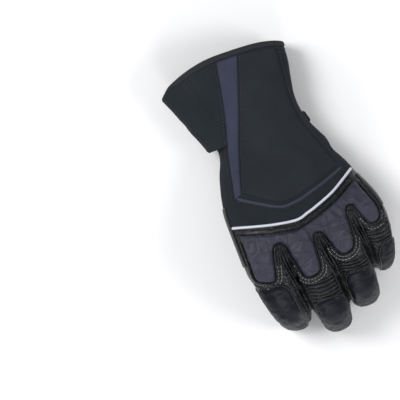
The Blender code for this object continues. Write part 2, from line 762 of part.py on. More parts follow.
# Index panel: across in hundredths of the palm's width, along in shares of the index finger's reach.
INDEX_PANEL_THUMB_EDGE = ((35.5, 0.324), (37.0, 0.561), (35.5, 0.773), (29.0, 0.947))
INDEX_PANEL_MIDDLE_EDGE = ((20.5, 0.386), (19.0, 0.623), (18.0, 0.847), (19.5, 0.997))


def make_cuff_panels(surface):
    """Navy stripe and charcoal panel of the cuff's back, and the trim that edges the panel."""
    stripe = patch((STRIPE_THUMB_EDGE[0], STRIPE_LITTLE_EDGE[0]),
                   (STRIPE_THUMB_EDGE[-1], STRIPE_LITTLE_EDGE[-1]),
                   STRIPE_THUMB_EDGE, STRIPE_LITTLE_EDGE, 3, 14)
    drape("cuff_stripe", stripe, PANEL_THICKNESS, PANEL_THICKNESS, NAVY_CLOTH, 0.8, surface)
    back = patch(PANEL_RIM_EDGE, PANEL_LOWER_EDGE,
                 PANEL_THUMB_EDGE, PANEL_LITTLE_EDGE, 10, 15)
    drape("cuff_back_panel", back, PANEL_THICKNESS, PANEL_THICKNESS, CHARCOAL_CLOTH, 0.85, surface)
    drape("panel_trim", ribbon(TRIM_LINE, TRIM_WIDTH, 20), PANEL_THICKNESS, PANEL_THICKNESS,
          NAVY_CLOTH, 0.6, surface)


def make_piping(surface):
    """Reflective piping across the back of the hand, a round cord laid in the seam."""
    count = 26
    curve = bpy.data.curves.new("piping", "CURVE")
    curve.dimensions = "3D"
    line = curve.splines.new("POLY")
    line.points.add(count)
    for k in range(count + 1):
        x, y = along(PIPING_LINE, k / count)
        base, normal = surface.frame(x, y)
        line.points[k].co = (*(base + normal * (PIPING_RADIUS + LAY_GAP)), 1)
    curve.bevel_depth = PIPING_RADIUS
    curve.bevel_resolution = 1
    curve.use_fill_caps = True
    place(bpy.data.objects.new("piping", curve), PIPING_GREY, 0.35)


def make_knuckle_pad(surface):
    """Padded panel over the knuckles with a lobe on each finger and slots between them."""
    line = []
    for (a, b), count in zip(zip(SLOT_LINE, SLOT_LINE[1:]), SLOT_COLUMNS):
        pa, pb = plan(*a), plan(*b)
        line += [pa + (pb - pa) * k / count for k in range(count)]
    line.append(plan(*SLOT_LINE[-1]))
    run = np.cumsum([0.0] + [np.linalg.norm(b - a) for a, b in zip(line, line[1:])])
    grid = [[along(PAD_WRIST_EDGE, r / run[-1]) for r in run]]
    for v in (0.34, 0.67):
        grid.append([a + (b - a) * v for a, b in zip(grid[0], line)])
    grid.append(line)
    cells = cells_of(grid)
    for start, near, far, end, down in LOBES:
        first = (SLOT_LINE[start], SLOT_LINE[start + 1])
        cells += patch(first, end, near, far, SLOT_COLUMNS[start], down)
    drape("knuckle_pad", cells, PAD_EDGE, PAD_CROWN, NAVY_LEATHER, 0.5, surface,
          gap=STEEP_GAP, sag=PAD_SAG)
    drape("seam_band", ribbon(SEAM_BAND_LINE, SEAM_BAND_WIDTH, 20), PANEL_THICKNESS, PANEL_THICKNESS,
          BLACK_LEATHER, 0.5, surface)


def make_welts(surface):
    """Ridged leather gussets in the slots of the pad, running down to the finger crotches."""
    for number, line in enumerate(WELTS):
        cells = ribbon(line, WELT_WIDTH, 10, 4, WELT_SHARES)
        drape(f"gusset_{number + 1}", cells, WELT_EDGE, PANEL_THICKNESS, BLACK_LEATHER, 0.45, surface,
              gap=STEEP_GAP)


def on_finger(x, share, reach):
    """Pattern place at a share of a finger's own reach beyond the crotch."""
    return x, 100 + 100 * share * reach / MIDDLE_REACH


def make_finger_panels(surface):
    """Long panel on the index finger and domed caps on the tips of the other three."""
    thumb_edge = [on_finger(x, share, INDEX_REACH) for x, share in INDEX_PANEL_THUMB_EDGE]
    middle_edge = [on_finger(x, share, INDEX_REACH) for x, share in INDEX_PANEL_MIDDLE_EDGE]
    index_panel = patch((thumb_edge[0], middle_edge[0]), (thumb_edge[-1], middle_edge[-1]),
                        thumb_edge, middle_edge, 5, 9)
    drape("index_panel", index_panel, PANEL_THICKNESS, INDEX_PANEL_CROWN, NAVY_LEATHER, 0.4, surface,
          gap=STEEP_GAP)
    for name, reach, x, share, half_x, half_y in CAPS:
        cells = disc(on_finger(x, share, reach), half_x * PALM_WIDTH / 100, half_y * PALM_WIDTH / 100, 5)
        drape(name, cells, PANEL_THICKNESS, CAP_CROWN, NAVY_LEATHER, 0.4, surface, gap=STEEP_GAP)


def wrap(name, rows, turns, thickness, lift, colour, roughness, floor=None):
    """Band round the cuff or hand: rows of (share, first station, last station) and two angles."""
    bm = bmesh.new()
    shells = ([], [])
    for share, first, last in rows:
        angle = math.radians(turns[0] + (turns[1] - turns[0]) * share)
        for skin, out in zip(shells, (LAY_GAP, LAY_GAP + thickness)):
            line = []
            for s in stations(first, last, WRAP_STEPS + 1):
                p = body_point(s, angle, out + lift(angle, s))
                if floor is not None:
                    p[2] = max(p[2], floor if skin is shells[1] else floor + thickness)
                line.append(bm.verts.new(p))
            skin.append(line)
    inner, outer = shells
    for i in range(len(rows) - 1):
        for k in range(WRAP_STEPS):
            bm.faces.new((outer[i][k], outer[i][k + 1], outer[i + 1][k + 1], outer[i + 1][k]))
            bm.faces.new((inner[i][k], inner[i + 1][k], inner[i + 1][k + 1], inner[i][k + 1]))
        for k in (0, WRAP_STEPS):
            bm.faces.new((outer[i][k], outer[i + 1][k], inner[i + 1][k], inner[i][k]))
    for i in (0, len(rows) - 1):
        for k in range(WRAP_STEPS):
            bm.faces.new((outer[i][k], outer[i][k + 1], inner[i][k + 1], inner[i][k]))
    return finish(bm, name, colour, roughness)


# Wrist strap: share of its length, from the back of the cuff to its rounded end underneath, first
# and last station there, and the angles round the cuff that it runs between, in degrees. It lies
# close on the cuff from the rim to one station, and stands further off towards the wrist.
STRAP_ROWS = (
    (0.00, -93, -14), (0.12, -93, -13), (0.24, -93, -12.5), (0.34, -93, -12.5), (0.44, -91, -13),
    (0.54, -87, -15), (0.64, -80, -18), (0.74, -76, -22), (0.84, -71, -27), (0.92, -65, -33),
    (0.97, -59, -39), (1.00, -52, -46),
)
STRAP_TURNS = (44, -118)
STRAP_CLOSE = -62
STRAP_LEAST = 0.18
# Side strips: first and last station, and angles round the hand
LITTLE_STRIP = (49, 92, (162, 216))
THUMB_STRIP = (41, 92, (18, -36))
STRIP_ROWS = 7


def make_strap():
    """Wide tab that folds round the thumb side of the cuff and fastens flat on its palm side."""

    def lift(angle, station):
        open_share = max(STRAP_LEAST, (station - STRAP_CLOSE) / (STRAP_ROWS[0][2] - STRAP_CLOSE))
        return STRAP_STANDOFF * min(1.0, open_share) * max(0.0, math.cos(angle)) ** 3

    wrap("wrist_strap", STRAP_ROWS, STRAP_TURNS, STRAP_THICKNESS, lift, STRAP_NAVY, 0.8, 0.0)


def make_side_strips():
    """Smooth leather strips down the two sides of the hand."""

    def lift(angle, station):
        return STRIP_LIFT

    for name, (first, last, turns) in (("little_side_strip", LITTLE_STRIP), ("thumb_side_strip", THUMB_STRIP)):
        rows = [(share, first, last) for share in stations(0, 1, STRIP_ROWS)]
        wrap(name, rows, turns, PANEL_THICKNESS, lift, BLACK_LEATHER, 0.3)


def rounded_box(half_x, half_y, corner, middle_y):
    """Outline of a box with rounded corners about a place on the long axis."""
    points = []
    for sx, sy, start in ((1, 1, 0), (-1, 1, 90), (-1, -1, 180), (1, -1, 270)):
        for step in range(4):
            a = math.radians(start + 30 * step)
            points.append((sx * (half_x - corner) + corner * math.cos(a),
                           middle_y + sy * (half_y - corner) + corner * math.sin(a)))
    return points


def make_clip(cuff):
    """Moulded clip that pairs two gloves, its webbing tab folded round its bar under the wrist."""
    middle = Vector((*plan(*CLIP_PLACE), 0.0))
    turn = math.radians(CLIP_TURN)
    half_length = CLIP_LENGTH / 2
    slot_end = half_length - CLIP_BAR
    eye = CLIP_LENGTH - 3 * CLIP_BAR - CLIP_SLOT
    loops = (
        rounded_box(CLIP_WIDTH / 2, half_length, CLIP_BAR * 0.9, 0),
        rounded_box(CLIP_WIDTH / 2 - CLIP_BAR * 0.7, CLIP_SLOT / 2, CLIP_SLOT * 0.2, slot_end - CLIP_SLOT / 2),
        rounded_box(CLIP_EYE / 2, eye / 2, CLIP_EYE * 0.3, -half_length + CLIP_BAR + eye / 2),
    )
    curve = bpy.data.curves.new("glove_clip", "CURVE")
    curve.dimensions = "2D"
    curve.fill_mode = "BOTH"
    for points in loops:
        spline = curve.splines.new("POLY")
        spline.points.add(len(points) - 1)
        for spot, (x, y) in zip(spline.points, points):
            spot.co = (x, y, 0, 1)
        spline.use_cyclic_u = True
    curve.extrude = CLIP_THICKNESS / 2
    clip = bpy.data.objects.new("glove_clip", curve)
    clip.location = middle + Vector((0, 0, WEBBING + SEAM_GAP + CLIP_THICKNESS / 2))
    clip.rotation_euler = (0, 0, turn)
    place(clip, PLASTIC_BLACK, 0.4)

    half = CLIP_WIDTH / 2 - CLIP_BAR * 0.7 - 2 * SEAM_GAP
    near = slot_end - SEAM_GAP
    over = CLIP_THICKNESS + WEBBING + 2 * SEAM_GAP
    fold = half_length - SEAM_GAP
    far = half_length + CLIP_TAB
    under = underside(cuff)
    inward = Vector((-math.sin(turn), math.cos(turn), 0))
    across = Vector((math.cos(turn), math.sin(turn), 0))
    spots = [middle + inward * (far - 0.3 * CLIP_TAB * k / 3) + across * half * side
             for k in range(4) for side in (-1, 0, 1)]
    rise = min(under(spot.x, spot.y) for spot in spots) - SEAM_GAP - WEBBING
    bend = half_length + 2 * SEAM_GAP
    profile = (
        (far, rise), (bend, 0.0), (near - WEBBING, 0.0), (near - WEBBING, over + WEBBING),
        (fold, over + WEBBING), (fold, over), (near, over), (near, WEBBING), (bend, WEBBING),
        (far, rise + WEBBING),
    )
    bm = bmesh.new()
    sides = [[bm.verts.new((x, y, z)) for y, z in profile] for x in (-half, half)]
    for k in range(len(profile)):
        n = (k + 1) % len(profile)
        bm.faces.new((sides[0][k], sides[0][n], sides[1][n], sides[1][k]))
    for ends in sides:
        for quad in ((0, 1, 8, 9), (1, 2, 7, 8), (2, 3, 6, 7), (3, 4, 5, 6)):
            bm.faces.new([ends[k] for k in quad])
    tab = finish(bm, "clip_tab", CHARCOAL_CLOTH, 0.85, False)
    tab.location = middle
    tab.rotation_euler = (0, 0, turn)


def centre_on_origin():
    """Moves the glove so that its box stands on the origin at its bottom centre."""
    bpy.context.view_layer.update()
    graph = bpy.context.evaluated_depsgraph_get()
    corners = []
    for item in glove.objects:
        mesh = item.evaluated_get(graph).to_mesh()
        corners += [item.matrix_world @ v.co for v in mesh.vertices]
    low = Vector([min(c[k] for c in corners) for k in range(3)])
    high = Vector([max(c[k] for c in corners) for k in range(3)])
    shift = Vector((-(low.x + high.x) / 2, -(low.y + high.y) / 2, -low.z))
    for item in list(glove.objects) + list(cutters.objects):
        item.location += shift


top_surface = Surface([bpy.data.objects["gauntlet"], hand_shell] + stalls)
make_cuff_panels(top_surface)
make_piping(top_surface)
make_knuckle_pad(top_surface)
make_welts(top_surface)
make_finger_panels(top_surface)
make_strap()
make_side_strips()
make_clip(bpy.data.objects["gauntlet"])
centre_on_origin()
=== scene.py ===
"""Ski glove for the left hand, dressed in softshell cloth and grained leather, lying palm down."""
import math

import bpy
import numpy as np
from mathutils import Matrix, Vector, noise
from mathutils.bvhtree import BVHTree
from mathutils.geometry import delaunay_2d_cdt


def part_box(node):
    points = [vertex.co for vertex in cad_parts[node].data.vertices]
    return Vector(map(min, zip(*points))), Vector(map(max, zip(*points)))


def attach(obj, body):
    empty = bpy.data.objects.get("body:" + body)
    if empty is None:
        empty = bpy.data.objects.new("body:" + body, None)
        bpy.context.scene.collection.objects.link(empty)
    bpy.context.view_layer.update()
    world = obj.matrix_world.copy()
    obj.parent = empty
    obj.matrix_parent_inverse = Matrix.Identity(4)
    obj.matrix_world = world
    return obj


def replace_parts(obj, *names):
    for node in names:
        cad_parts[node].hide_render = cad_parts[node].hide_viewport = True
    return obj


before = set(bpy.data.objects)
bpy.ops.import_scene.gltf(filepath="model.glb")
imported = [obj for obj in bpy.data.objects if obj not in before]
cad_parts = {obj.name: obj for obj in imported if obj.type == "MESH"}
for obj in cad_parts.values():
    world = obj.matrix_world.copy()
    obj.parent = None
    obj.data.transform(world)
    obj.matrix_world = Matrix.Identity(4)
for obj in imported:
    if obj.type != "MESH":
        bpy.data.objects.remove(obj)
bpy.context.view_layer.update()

bpy.ops.object.select_all(action="DESELECT")


# View.
# The glove is seen from straight above with its fingers to the lower right. It lies on a plain pale
# table under a large soft light, with weaker lights from the side and behind for the leather's sheen.
CAMERA_SPOT = (0.0767, -0.0169, 3.05)
CAMERA_TURN = math.radians(161.2)
LAMPS = (
    ("top_light", (1.1, -0.9, 1.5), 0.9, 28),
    ("side_light", (-1.3, 0.7, 1.2), 0.7, 12),
    ("back_light", (0.3, 1.6, 0.8), 0.6, 10),
)
bpy.ops.object.camera_add(location=CAMERA_SPOT, rotation=(0, 0, CAMERA_TURN))
camera = bpy.context.object
camera.data.lens = 300
camera.data.sensor_width = 36
bpy.context.scene.camera = camera

bpy.ops.mesh.primitive_plane_add(size=6, location=(0, 0, -0.0002))
floor = bpy.context.object
floor.name = "floor"


class Wire:
    """Socket of a material's nodes that takes part in sums; node() adds any other node to it."""

    def __init__(self, tree, socket=None):
        self.tree = tree
        self.socket = socket

    def node(self, kind, settings=None, values=None, output=0):
        made = self.tree.nodes.new(kind)
        for name, value in (settings or {}).items():
            setattr(made, name, value)
        for name, value in (values or {}).items():
            if isinstance(value, Wire):
                self.tree.links.new(value.socket, made.inputs[name])
            else:
                made.inputs[name].default_value = value
        return Wire(self.tree, made.outputs[output])

    def sum(self, operation, *terms, clamp=False):
        return self.node("ShaderNodeMath", {"operation": operation, "use_clamp": clamp},
                         dict(enumerate(terms)))

    def __add__(self, other):
        return self.sum("ADD", self, other)

    __radd__ = __add__

    def __sub__(self, other):
        return self.sum("SUBTRACT", self, other)

    def __rsub__(self, other):
        return self.sum("SUBTRACT", other, self)

    def __mul__(self, other):
        return self.sum("MULTIPLY", self, other)

    __rmul__ = __mul__

    def clamped(self):
        return self.sum("MULTIPLY", self, 1.0, clamp=True)

    def sine(self):
        return self.sum("SINE", self)

    def tint(self, low, high):
        """Colour from low at 0 to high at 1."""
        return self.node("ShaderNodeMix", {"data_type": "RGBA"}, {0: self, 6: (*low, 1), 7: (*high, 1)}, 2)


def finish(name, roughness, **constants):
    """New material: the wire of its tree, its shader's sockets and its object coordinates."""
    made = bpy.data.materials.new(name)
    made.use_nodes = True
    shader = made.node_tree.nodes["Principled BSDF"]
    shader.inputs["Roughness"].default_value = roughness
    for socket, value in constants.items():
        shader.inputs[socket.replace("_", " ")].default_value = value
    wire = Wire(made.node_tree)
    place = wire.node("ShaderNodeTexCoord", output="Object")
    return made, wire, shader.inputs, place


def feed(wire, sockets, colour=None, roughness=None, bumps=()):
    """Links a colour, a roughness and a chain of (height, depth in metres) to a shader."""
    if colour is not None:
        wire.tree.links.new(colour.socket, sockets["Base Color"])
    if roughness is not None:
        wire.tree.links.new(roughness.clamped().socket, sockets["Roughness"])
    normal = None
    for height, depth in bumps:
        values = {"Height": height, "Distance": depth, "Strength": 1.0}
        if normal is not None:
            values["Normal"] = normal
        normal = wire.node("ShaderNodeBump", values=values)
    if normal is not None:
        wire.tree.links.new(normal.socket, sockets["Normal"])


table_finish, wire, sockets, place = finish("pale_table", 0.85)
sockets["Base Color"].default_value = (0.93, 0.93, 0.935, 1)
floor.data.materials.append(table_finish)

for name, spot, size, watts in LAMPS:
    bpy.ops.object.light_add(type="AREA", location=spot)
    lamp = bpy.context.object
    lamp.name = name
    lamp.data.size = size
    lamp.data.energy = watts
    lamp.rotation_euler = (-Vector(spot)).to_track_quat("-Z", "Y").to_euler()
world = bpy.data.worlds.new("studio")
world.use_nodes = True
world.node_tree.nodes["Background"].inputs[0].default_value = (0.97, 0.98, 1.0, 1)
world.node_tree.nodes["Background"].inputs[1].default_value = 0.42
bpy.context.scene.world = world
bpy.context.scene.view_settings.view_transform = "Standard"


# Shell.
# One soft body from the rim to the fingertips: softshell cloth over the cuff and wrist, leather over
# the hand and fingers. Its sections follow the pattern, and it is padded and lined inside.
PALM_WIDTH = 0.131
CUFF_LENGTH = 0.0925
HAND_LENGTH = 0.098
KNUCKLE_HEIGHT = 0.079
MIDDLE_REACH = 0.0785
THUMB_LENGTH = 0.092
THUMB_WIDTH = 0.030
CROTCH_SLANT = 0.105
RIM_SWEEP = 0.016
RIM_LITTLE_SHARE = 0.4
RIM_CORNER = 0.0022
RIM_TRIM = 0.0018
GROOVE_DEPTH = 0.005
CUFF_FLOOR = 0.0031
WALL = 0.003
SIDE_DROP = 0.003
VOXEL = 0.0016
DOMES = (0.2, 0.4, 0.58, 0.74, 0.86, 0.94, 0.985)
UP = Vector((0, 0, 1))
wrist_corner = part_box("hand_shell")[0]
WRIST = np.array((wrist_corner[0] + 0.588 * PALM_WIDTH, wrist_corner[1] - 0.00015, 0.0))
# Outline and profile: station (-100 rim, 0 wrist, 100 finger crotch), little and thumb side in
# hundredths of the palm's width, palm, back and widest heights in hundredths of the knuckles', shape.
BODY = (
    (-100, -30.0, 60.6, 3.0, 55, 25, 2.5),
    (-81, -29.4, 55.4, 2.6, 57, 26, 2.5),
    (-60, -27.2, 51.2, 2.6, 57, 26, 2.5),
    (-38, -25.7, 45.8, 2.6, 56, 26, 2.5),
    (-25, -26.6, 41.2, 2.6, 56, 26, 2.5),
    (-11, -29.6, 37.0, 2.6, 56, 26, 2.5),
    (0, -33.4, 38.4, 3.6, 58, 28, 2.5),
    (10, -37.2, 41.4, 6.0, 61, 31, 2.5),
    (20, -38.4, 43.6, 10.0, 66, 36, 2.5),
    (33, -43.7, 45.8, 17.0, 73, 43, 2.5),
    (51, -49.2, 47.3, 27.0, 83, 53, 2.5),
    (66, -53.6, 47.0, 36.0, 91, 62, 2.6),
    (83, -57.0, 46.4, 43.0, 97, 69, 2.7),
    (100, -58.8, 45.8, 46.0, 98, 71, 2.8),
)
# Fingers: little and thumb side at the crotch, reach, back, palm, lean of the tip and its bend.
FINGERS = {
    "index": (16.25, 45.6, 0.063, 96.0, 47.0, -8.6, 1.3),
    "middle": (-11.3, 15.75, 0.0785, 100.0, 47.0, -6.2, 1.2),
    "ring": (-36.8, -11.8, 0.0685, 97.5, 46.5, -3.2, 1.1),
    "little": (-58.9, -37.4, 0.0465, 90.0, 46.0, 2.2, 3.0),
}
# Curl: share of the run, height and depth as shares of the mouth's, then each finger's width.
CURL = (
    (0.00, 1.00, 1.00, 1.00, 1.00, 1.00, 1.00),
    (0.30, 0.99, 0.94, 0.94, 0.97, 0.98, 0.97),
    (0.62, 0.85, 0.86, 0.90, 0.96, 0.97, 0.87),
    (0.88, 0.59, 0.80, 0.86, 0.92, 0.95, 0.80),
    (1.00, 0.24, 0.75, 0.76, 0.83, 0.89, 0.78),
)
# Thumb rings under the index side: top and bottom along it, top and bottom height, width.
THUMB = (
    (0.42, 0.07, 0.66, 0.06, 1.00),
    (0.50, 0.20, 0.76, 0.00, 1.00),
    (0.62, 0.42, 0.84, 0.00, 0.99),
    (0.78, 0.70, 0.84, 0.00, 0.94),
    (0.90, 0.90, 0.76, 0.00, 0.86),
)
# Soft creases: place in the pattern, half length, half width, turn in degrees and depth.
DENTS = (
    (-24, -58, 10, 2.6, -48, 1.9),
    (-16, 8, 12, 2.6, -60, 1.9),
    (-26, 20, 10, 2.4, -50, 1.5),
    (37, 22, 9, 3.0, 80, 1.2),
)


def plan(x, y):
    """Place in plan of x, in hundredths of the palm's width, and y, the station along the glove."""
    if y < 0:
        run = y * CUFF_LENGTH / 100
    elif y < 100:
        run = y * HAND_LENGTH / 100
    else:
        run = HAND_LENGTH + (y - 100) * MIDDLE_REACH / 100
    return np.array((x * PALM_WIDTH / 100, run)) + WRIST[:2]


def station_of(points):
    """Station along the cuff or the hand of each point."""
    run = points[:, 1] - plan(0, 0)[1]
    return np.where(run < 0, run / CUFF_LENGTH, run / HAND_LENGTH) * 100


def circle(count):
    """Angles once round, without the last one."""
    return np.linspace(0, 2 * math.pi, count, endpoint=False)


def row_at(table, at):
    """All columns of a table at one value of its first column, on a smooth curve."""
    rows = np.array(table, dtype=float)
    keys = rows[:, 0]
    slopes = np.gradient(rows, keys, axis=0)
    at = min(max(at, keys[0]), keys[-1])
    low = min(int(np.searchsorted(keys, at, side="right")) - 1, len(keys) - 2)
    step = keys[low + 1] - keys[low]
    t = (at - keys[low]) / step
    return ((2 * t**3 - 3 * t**2 + 1) * rows[low] + (t**3 - 2 * t**2 + t) * step * slopes[low]
            + (3 * t**2 - 2 * t**3) * rows[low + 1] + (t**3 - t**2) * step * slopes[low + 1])


def ramp(value, low, high):
    t = np.clip((value - low) / (high - low), 0.0, 1.0)
    return t * t * (3 - 2 * t)


def power(value, exponent):
    return np.copysign(np.abs(value) ** exponent, value)


def mouths(x, upper):
    """Height of the row of finger mouths at x: their outermost line."""
    best = np.full(x.shape, np.nan)
    for little, thumb, reach, back, palm, lean, bend in FINGERS.values():
        share = (2 * x * 100 / PALM_WIDTH - little - thumb) / (thumb - little)
        inside = np.abs(share) < 1
        half = (back - palm) / 2 * (1 - np.abs(np.where(inside, share, 0)) ** 2.8) ** (1 / 2.8)
        z = ((back + palm) / 2 + (half if upper else -half)) * KNUCKLE_HEIGHT / 100
        best = np.where(inside, np.fmax(best, z) if upper else np.fmin(best, z), best)
    return best


def rim_sweep(share):
    """How far the rim sweeps towards the hand at a share of its half width, round at its thumb corner."""
    return np.where(share > 0, RIM_SWEEP * share**2 + RIM_CORNER * ramp(share, 0.84, 1.0) ** 2,
                    RIM_SWEEP * RIM_LITTLE_SHARE * share**4)


def body_section(station, angles, out=0.0):
    """Points of the cuff or hand at a station, at angles from the thumb side, pushed out."""
    angles = np.asarray(angles, dtype=float)
    _, little, thumb, palm, back, widest, square = row_at(BODY, station)
    x0, x1 = little * PALM_WIDTH / 100, thumb * PALM_WIDTH / 100
    low, top, middle = (v * KNUCKLE_HEIGHT / 100 for v in (palm, back, widest))
    c = power(np.cos(angles), 2 / square)
    s = power(np.sin(angles), 2 / square)
    under = (x0 + x1) / 2 + (x1 - x0) / 2 * c
    x = under + out * c
    z = middle + np.where(s > 0, top - middle, middle - low) * s
    y = plan(0, station)[1] - WRIST[1] + rim_sweep(c) * ramp(-station, 20, 100)
    y = y + CROTCH_SLANT * ramp(station, 45, 100) * x
    fade = ramp(station, 80, 100)
    for upper in (True, False):
        target = mouths(under, upper)
        rise = np.clip(np.nan_to_num(target - z), -GROOVE_DEPTH, GROOVE_DEPTH)
        z = z + np.where((s > 0) == upper, fade * rise * np.minimum(1.0, 2.5 * np.abs(s)), 0)
    for px, py, length, width, turn, deep in DENTS:
        cx, cy = plan(px, py) - WRIST[:2]
        a = math.radians(turn)
        u = ((x - cx) * math.cos(a) + (y - cy) * math.sin(a)) / (length * PALM_WIDTH / 100)
        v = (-(x - cx) * math.sin(a) + (y - cy) * math.cos(a)) / (width * PALM_WIDTH / 100)
        z = z - np.where(s > 0, deep * PALM_WIDTH / 100 * np.exp(-u * u - v * v) * np.minimum(1, 2 * s), 0)
    z = z + out * s
    if station < 14:
        z = np.where(s < 0, np.maximum(z, CUFF_FLOOR - out), z)
    return np.stack((x, y, z), axis=-1) + WRIST


def finger_section(name, t, angles, out=0.0, dome=0.0):
    """Points round a finger at a share of its run, or on the dome of its tip."""
    little, thumb, reach, back, palm, lean, bend = FINGERS[name]
    width = (thumb - little) * PALM_WIDTH / 200
    depth = (back - palm) * KNUCKLE_HEIGHT / 200
    middle_x = (thumb + little) * PALM_WIDTH / 200
    middle_z = (back + palm) * KNUCKLE_HEIGHT / 200
    run = reach - 0.94 * depth * CURL[-1][2]
    column = 3 + list(FINGERS).index(name)

    def centre(share):
        return np.array((middle_x + lean * PALM_WIDTH / 100 * share**bend,
                         HAND_LENGTH + CROTCH_SLANT * middle_x + run * share,
                         middle_z * row_at(CURL, share)[1]))

    row = row_at(CURL, t)
    way = centre(min(t + 0.01, 1.0)) - centre(max(t - 0.01, 0.0))
    way[0] = 0
    way /= np.linalg.norm(way)
    settle = ramp(t, 0.0, 0.25)
    way = way * settle + np.array((0.0, 1.0, 0.0)) * (1 - settle)
    way /= np.linalg.norm(way)
    up = np.array((0.0, -way[2], way[1]))
    square = 2.8 - 0.55 * t
    c = power(np.cos(angles), 2 / square)
    s = power(np.sin(angles), 2 / square)
    wide, deep = width * row[column] + out, depth * row[2] + out
    shrink = math.sqrt(1 - dome * dome)
    points = (centre(t) + way * (depth * CURL[-1][2] + out) * dome
              + shrink * wide * c[:, None] * np.array((1.0, 0, 0)) + shrink * deep * s[:, None] * up)
    points[:, 1] += CROTCH_SLANT * wide * c * (1 - settle)
    points[:, 2] = np.maximum(points[:, 2], -out)
    return points + WRIST


def tube_faces(rows, count, first=0):
    """Quads between rings of equal count."""
    a = first + np.arange(count)
    b = first + (np.arange(count) + 1) % count
    return [(int(p) + k * count, int(q) + k * count, int(q) + (k + 1) * count, int(p) + (k + 1) * count)
            for k in range(rows - 1) for p, q in zip(a, b)]


def mesh_piece(name, points, faces, material=None):
    """Object of a smooth mesh given by its points and faces, none of them under the table."""
    mesh = bpy.data.meshes.new(name)
    mesh.from_pydata([(x, y, max(z, 0.0)) for x, y, z in points], [], [tuple(f) for f in faces])
    mesh.update()
    mesh.shade_smooth()
    made = bpy.data.objects.new(name, mesh)
    bpy.context.collection.objects.link(made)
    if material is not None:
        mesh.materials.append(material)
    return made


def only(item):
    bpy.ops.object.select_all(action="DESELECT")
    item.select_set(True)
    bpy.context.view_layer.objects.active = item


def apply(item, kind, **settings):
    """Adds a modifier with those settings and applies it."""
    only(item)
    modifier = item.modifiers.new(kind.lower(), kind)
    for name, value in settings.items():
        setattr(modifier, name, value)
    bpy.ops.object.modifier_apply(modifier=modifier.name)


def filled(rings):
    """Points and faces of a solid lofted through rings, its ends closed with a fan."""
    count = len(rings[0])
    points = np.concatenate(rings + [rings[0].mean(axis=0)[None], rings[-1].mean(axis=0)[None]])
    faces = tube_faces(len(rings), count)
    last = (len(rings) - 1) * count
    for k in range(count):
        n = (k + 1) % count
        faces.append((n, k, len(points) - 2))
        faces.append((last + k, last + n, len(points) - 1))
    return points, faces


round_body = circle(120)
round_finger = circle(56)
solids = [filled([body_section(s, round_body) for s in np.linspace(-108, 100, 105)])]
for name in FINGERS:
    mouth = finger_section(name, 0.0, round_finger)
    inside = mouth.mean(axis=0) + (mouth - mouth.mean(axis=0)) * 0.9 - np.array((0, 0.012, 0))
    rings = [inside] + [finger_section(name, t, round_finger) for t in np.linspace(0, 1, 40)]
    rings += [finger_section(name, 1.0, round_finger, dome=d) for d in DOMES]
    solids.append(filled(rings))
body_points, body_faces = solids[0]
body_tree = BVHTree.FromPolygons([Vector(p) for p in body_points], body_faces)
thumb_rings = []
for k in np.linspace(0, len(THUMB) - 1, 30):
    _, top_y, low_y, top_z, low_z, wide = row_at([(i, *row) for i, row in enumerate(THUMB)], k)
    t = (top_y + low_y) / 2
    root = plan(25.5, 13.0)
    middle = root[0] + 6.5 * PALM_WIDTH / 100 * math.sin(math.pi * min(1.0, t * 0.9))
    thumb_rings.append(np.stack((
        middle + wide * THUMB_WIDTH / 2 * np.cos(round_finger),
        root[1] + THUMB_LENGTH * (t + (top_y - low_y) / 2 * np.sin(round_finger)),
        np.maximum((top_z + low_z + (top_z - low_z) * np.sin(round_finger)) * THUMB_WIDTH / 2, 0)), axis=-1))
last = thumb_rings[-1]
for dome in DOMES:
    thumb_rings.append(last.mean(axis=0) + (last - last.mean(axis=0)) * math.sqrt(1 - dome * dome)
                       + np.array((0, THUMB_WIDTH * 0.42 * dome, 0)))
mouth = thumb_rings[0].copy()
for point in mouth:
    above = body_tree.ray_cast(Vector((point[0], point[1], -0.1)), UP)[0]
    point[2] = (above.z if above is not None else 0.02) + 0.004
thumb_rings = [mouth] + thumb_rings
solids.append(filled(thumb_rings))

shell_points = []
shell_faces = []
for points, faces in solids:
    start = len(shell_points)
    shell_points += list(points)
    shell_faces += [tuple(start + v for v in face) for face in faces]
shell = mesh_piece("glove_shell", shell_points, shell_faces)
apply(shell, "REMESH", mode="VOXEL", voxel_size=VOXEL, use_smooth_shade=True)
apply(shell, "SMOOTH", factor=0.5, iterations=9)


def corners(item):
    """Corner places of an object's mesh."""
    flat = np.empty(len(item.data.vertices) * 3)
    item.data.vertices.foreach_get("co", flat)
    return flat.reshape(-1, 3)


def normals(item):
    flat = np.empty(len(item.data.vertices) * 3)
    item.data.vertex_normals.foreach_get("vector", flat)
    return flat.reshape(-1, 3)


def move(item, points):
    item.data.vertices.foreach_set("co", np.asarray(points).ravel())
    item.data.update()


def rim_shift(points):
    """How far the sweep of the rim moves each point of the cuff towards the hand."""
    _, little, thumb = row_at(BODY, -98)[:3]
    share = np.clip((2 * (points[:, 0] - WRIST[0]) * 100 / PALM_WIDTH - little - thumb) / (thumb - little), -1, 1)
    return rim_sweep(share) * ramp(-station_of(points), 20, 100)


# The rim is cut along its swept line, which is straight once the sweep is taken off.
points = corners(shell)
points[:, 1] -= rim_shift(points)
move(shell, points)
rim_y = plan(0, -100)[1] + RIM_TRIM
only(shell)
bpy.ops.object.mode_set(mode="EDIT")
bpy.ops.mesh.select_all(action="SELECT")
bpy.ops.mesh.bisect(plane_co=(0, rim_y, 0), plane_no=(0, 1, 0), clear_inner=True)
bpy.ops.object.mode_set(mode="OBJECT")
points = corners(shell)
points[:, 1] += rim_shift(points)
move(shell, points)

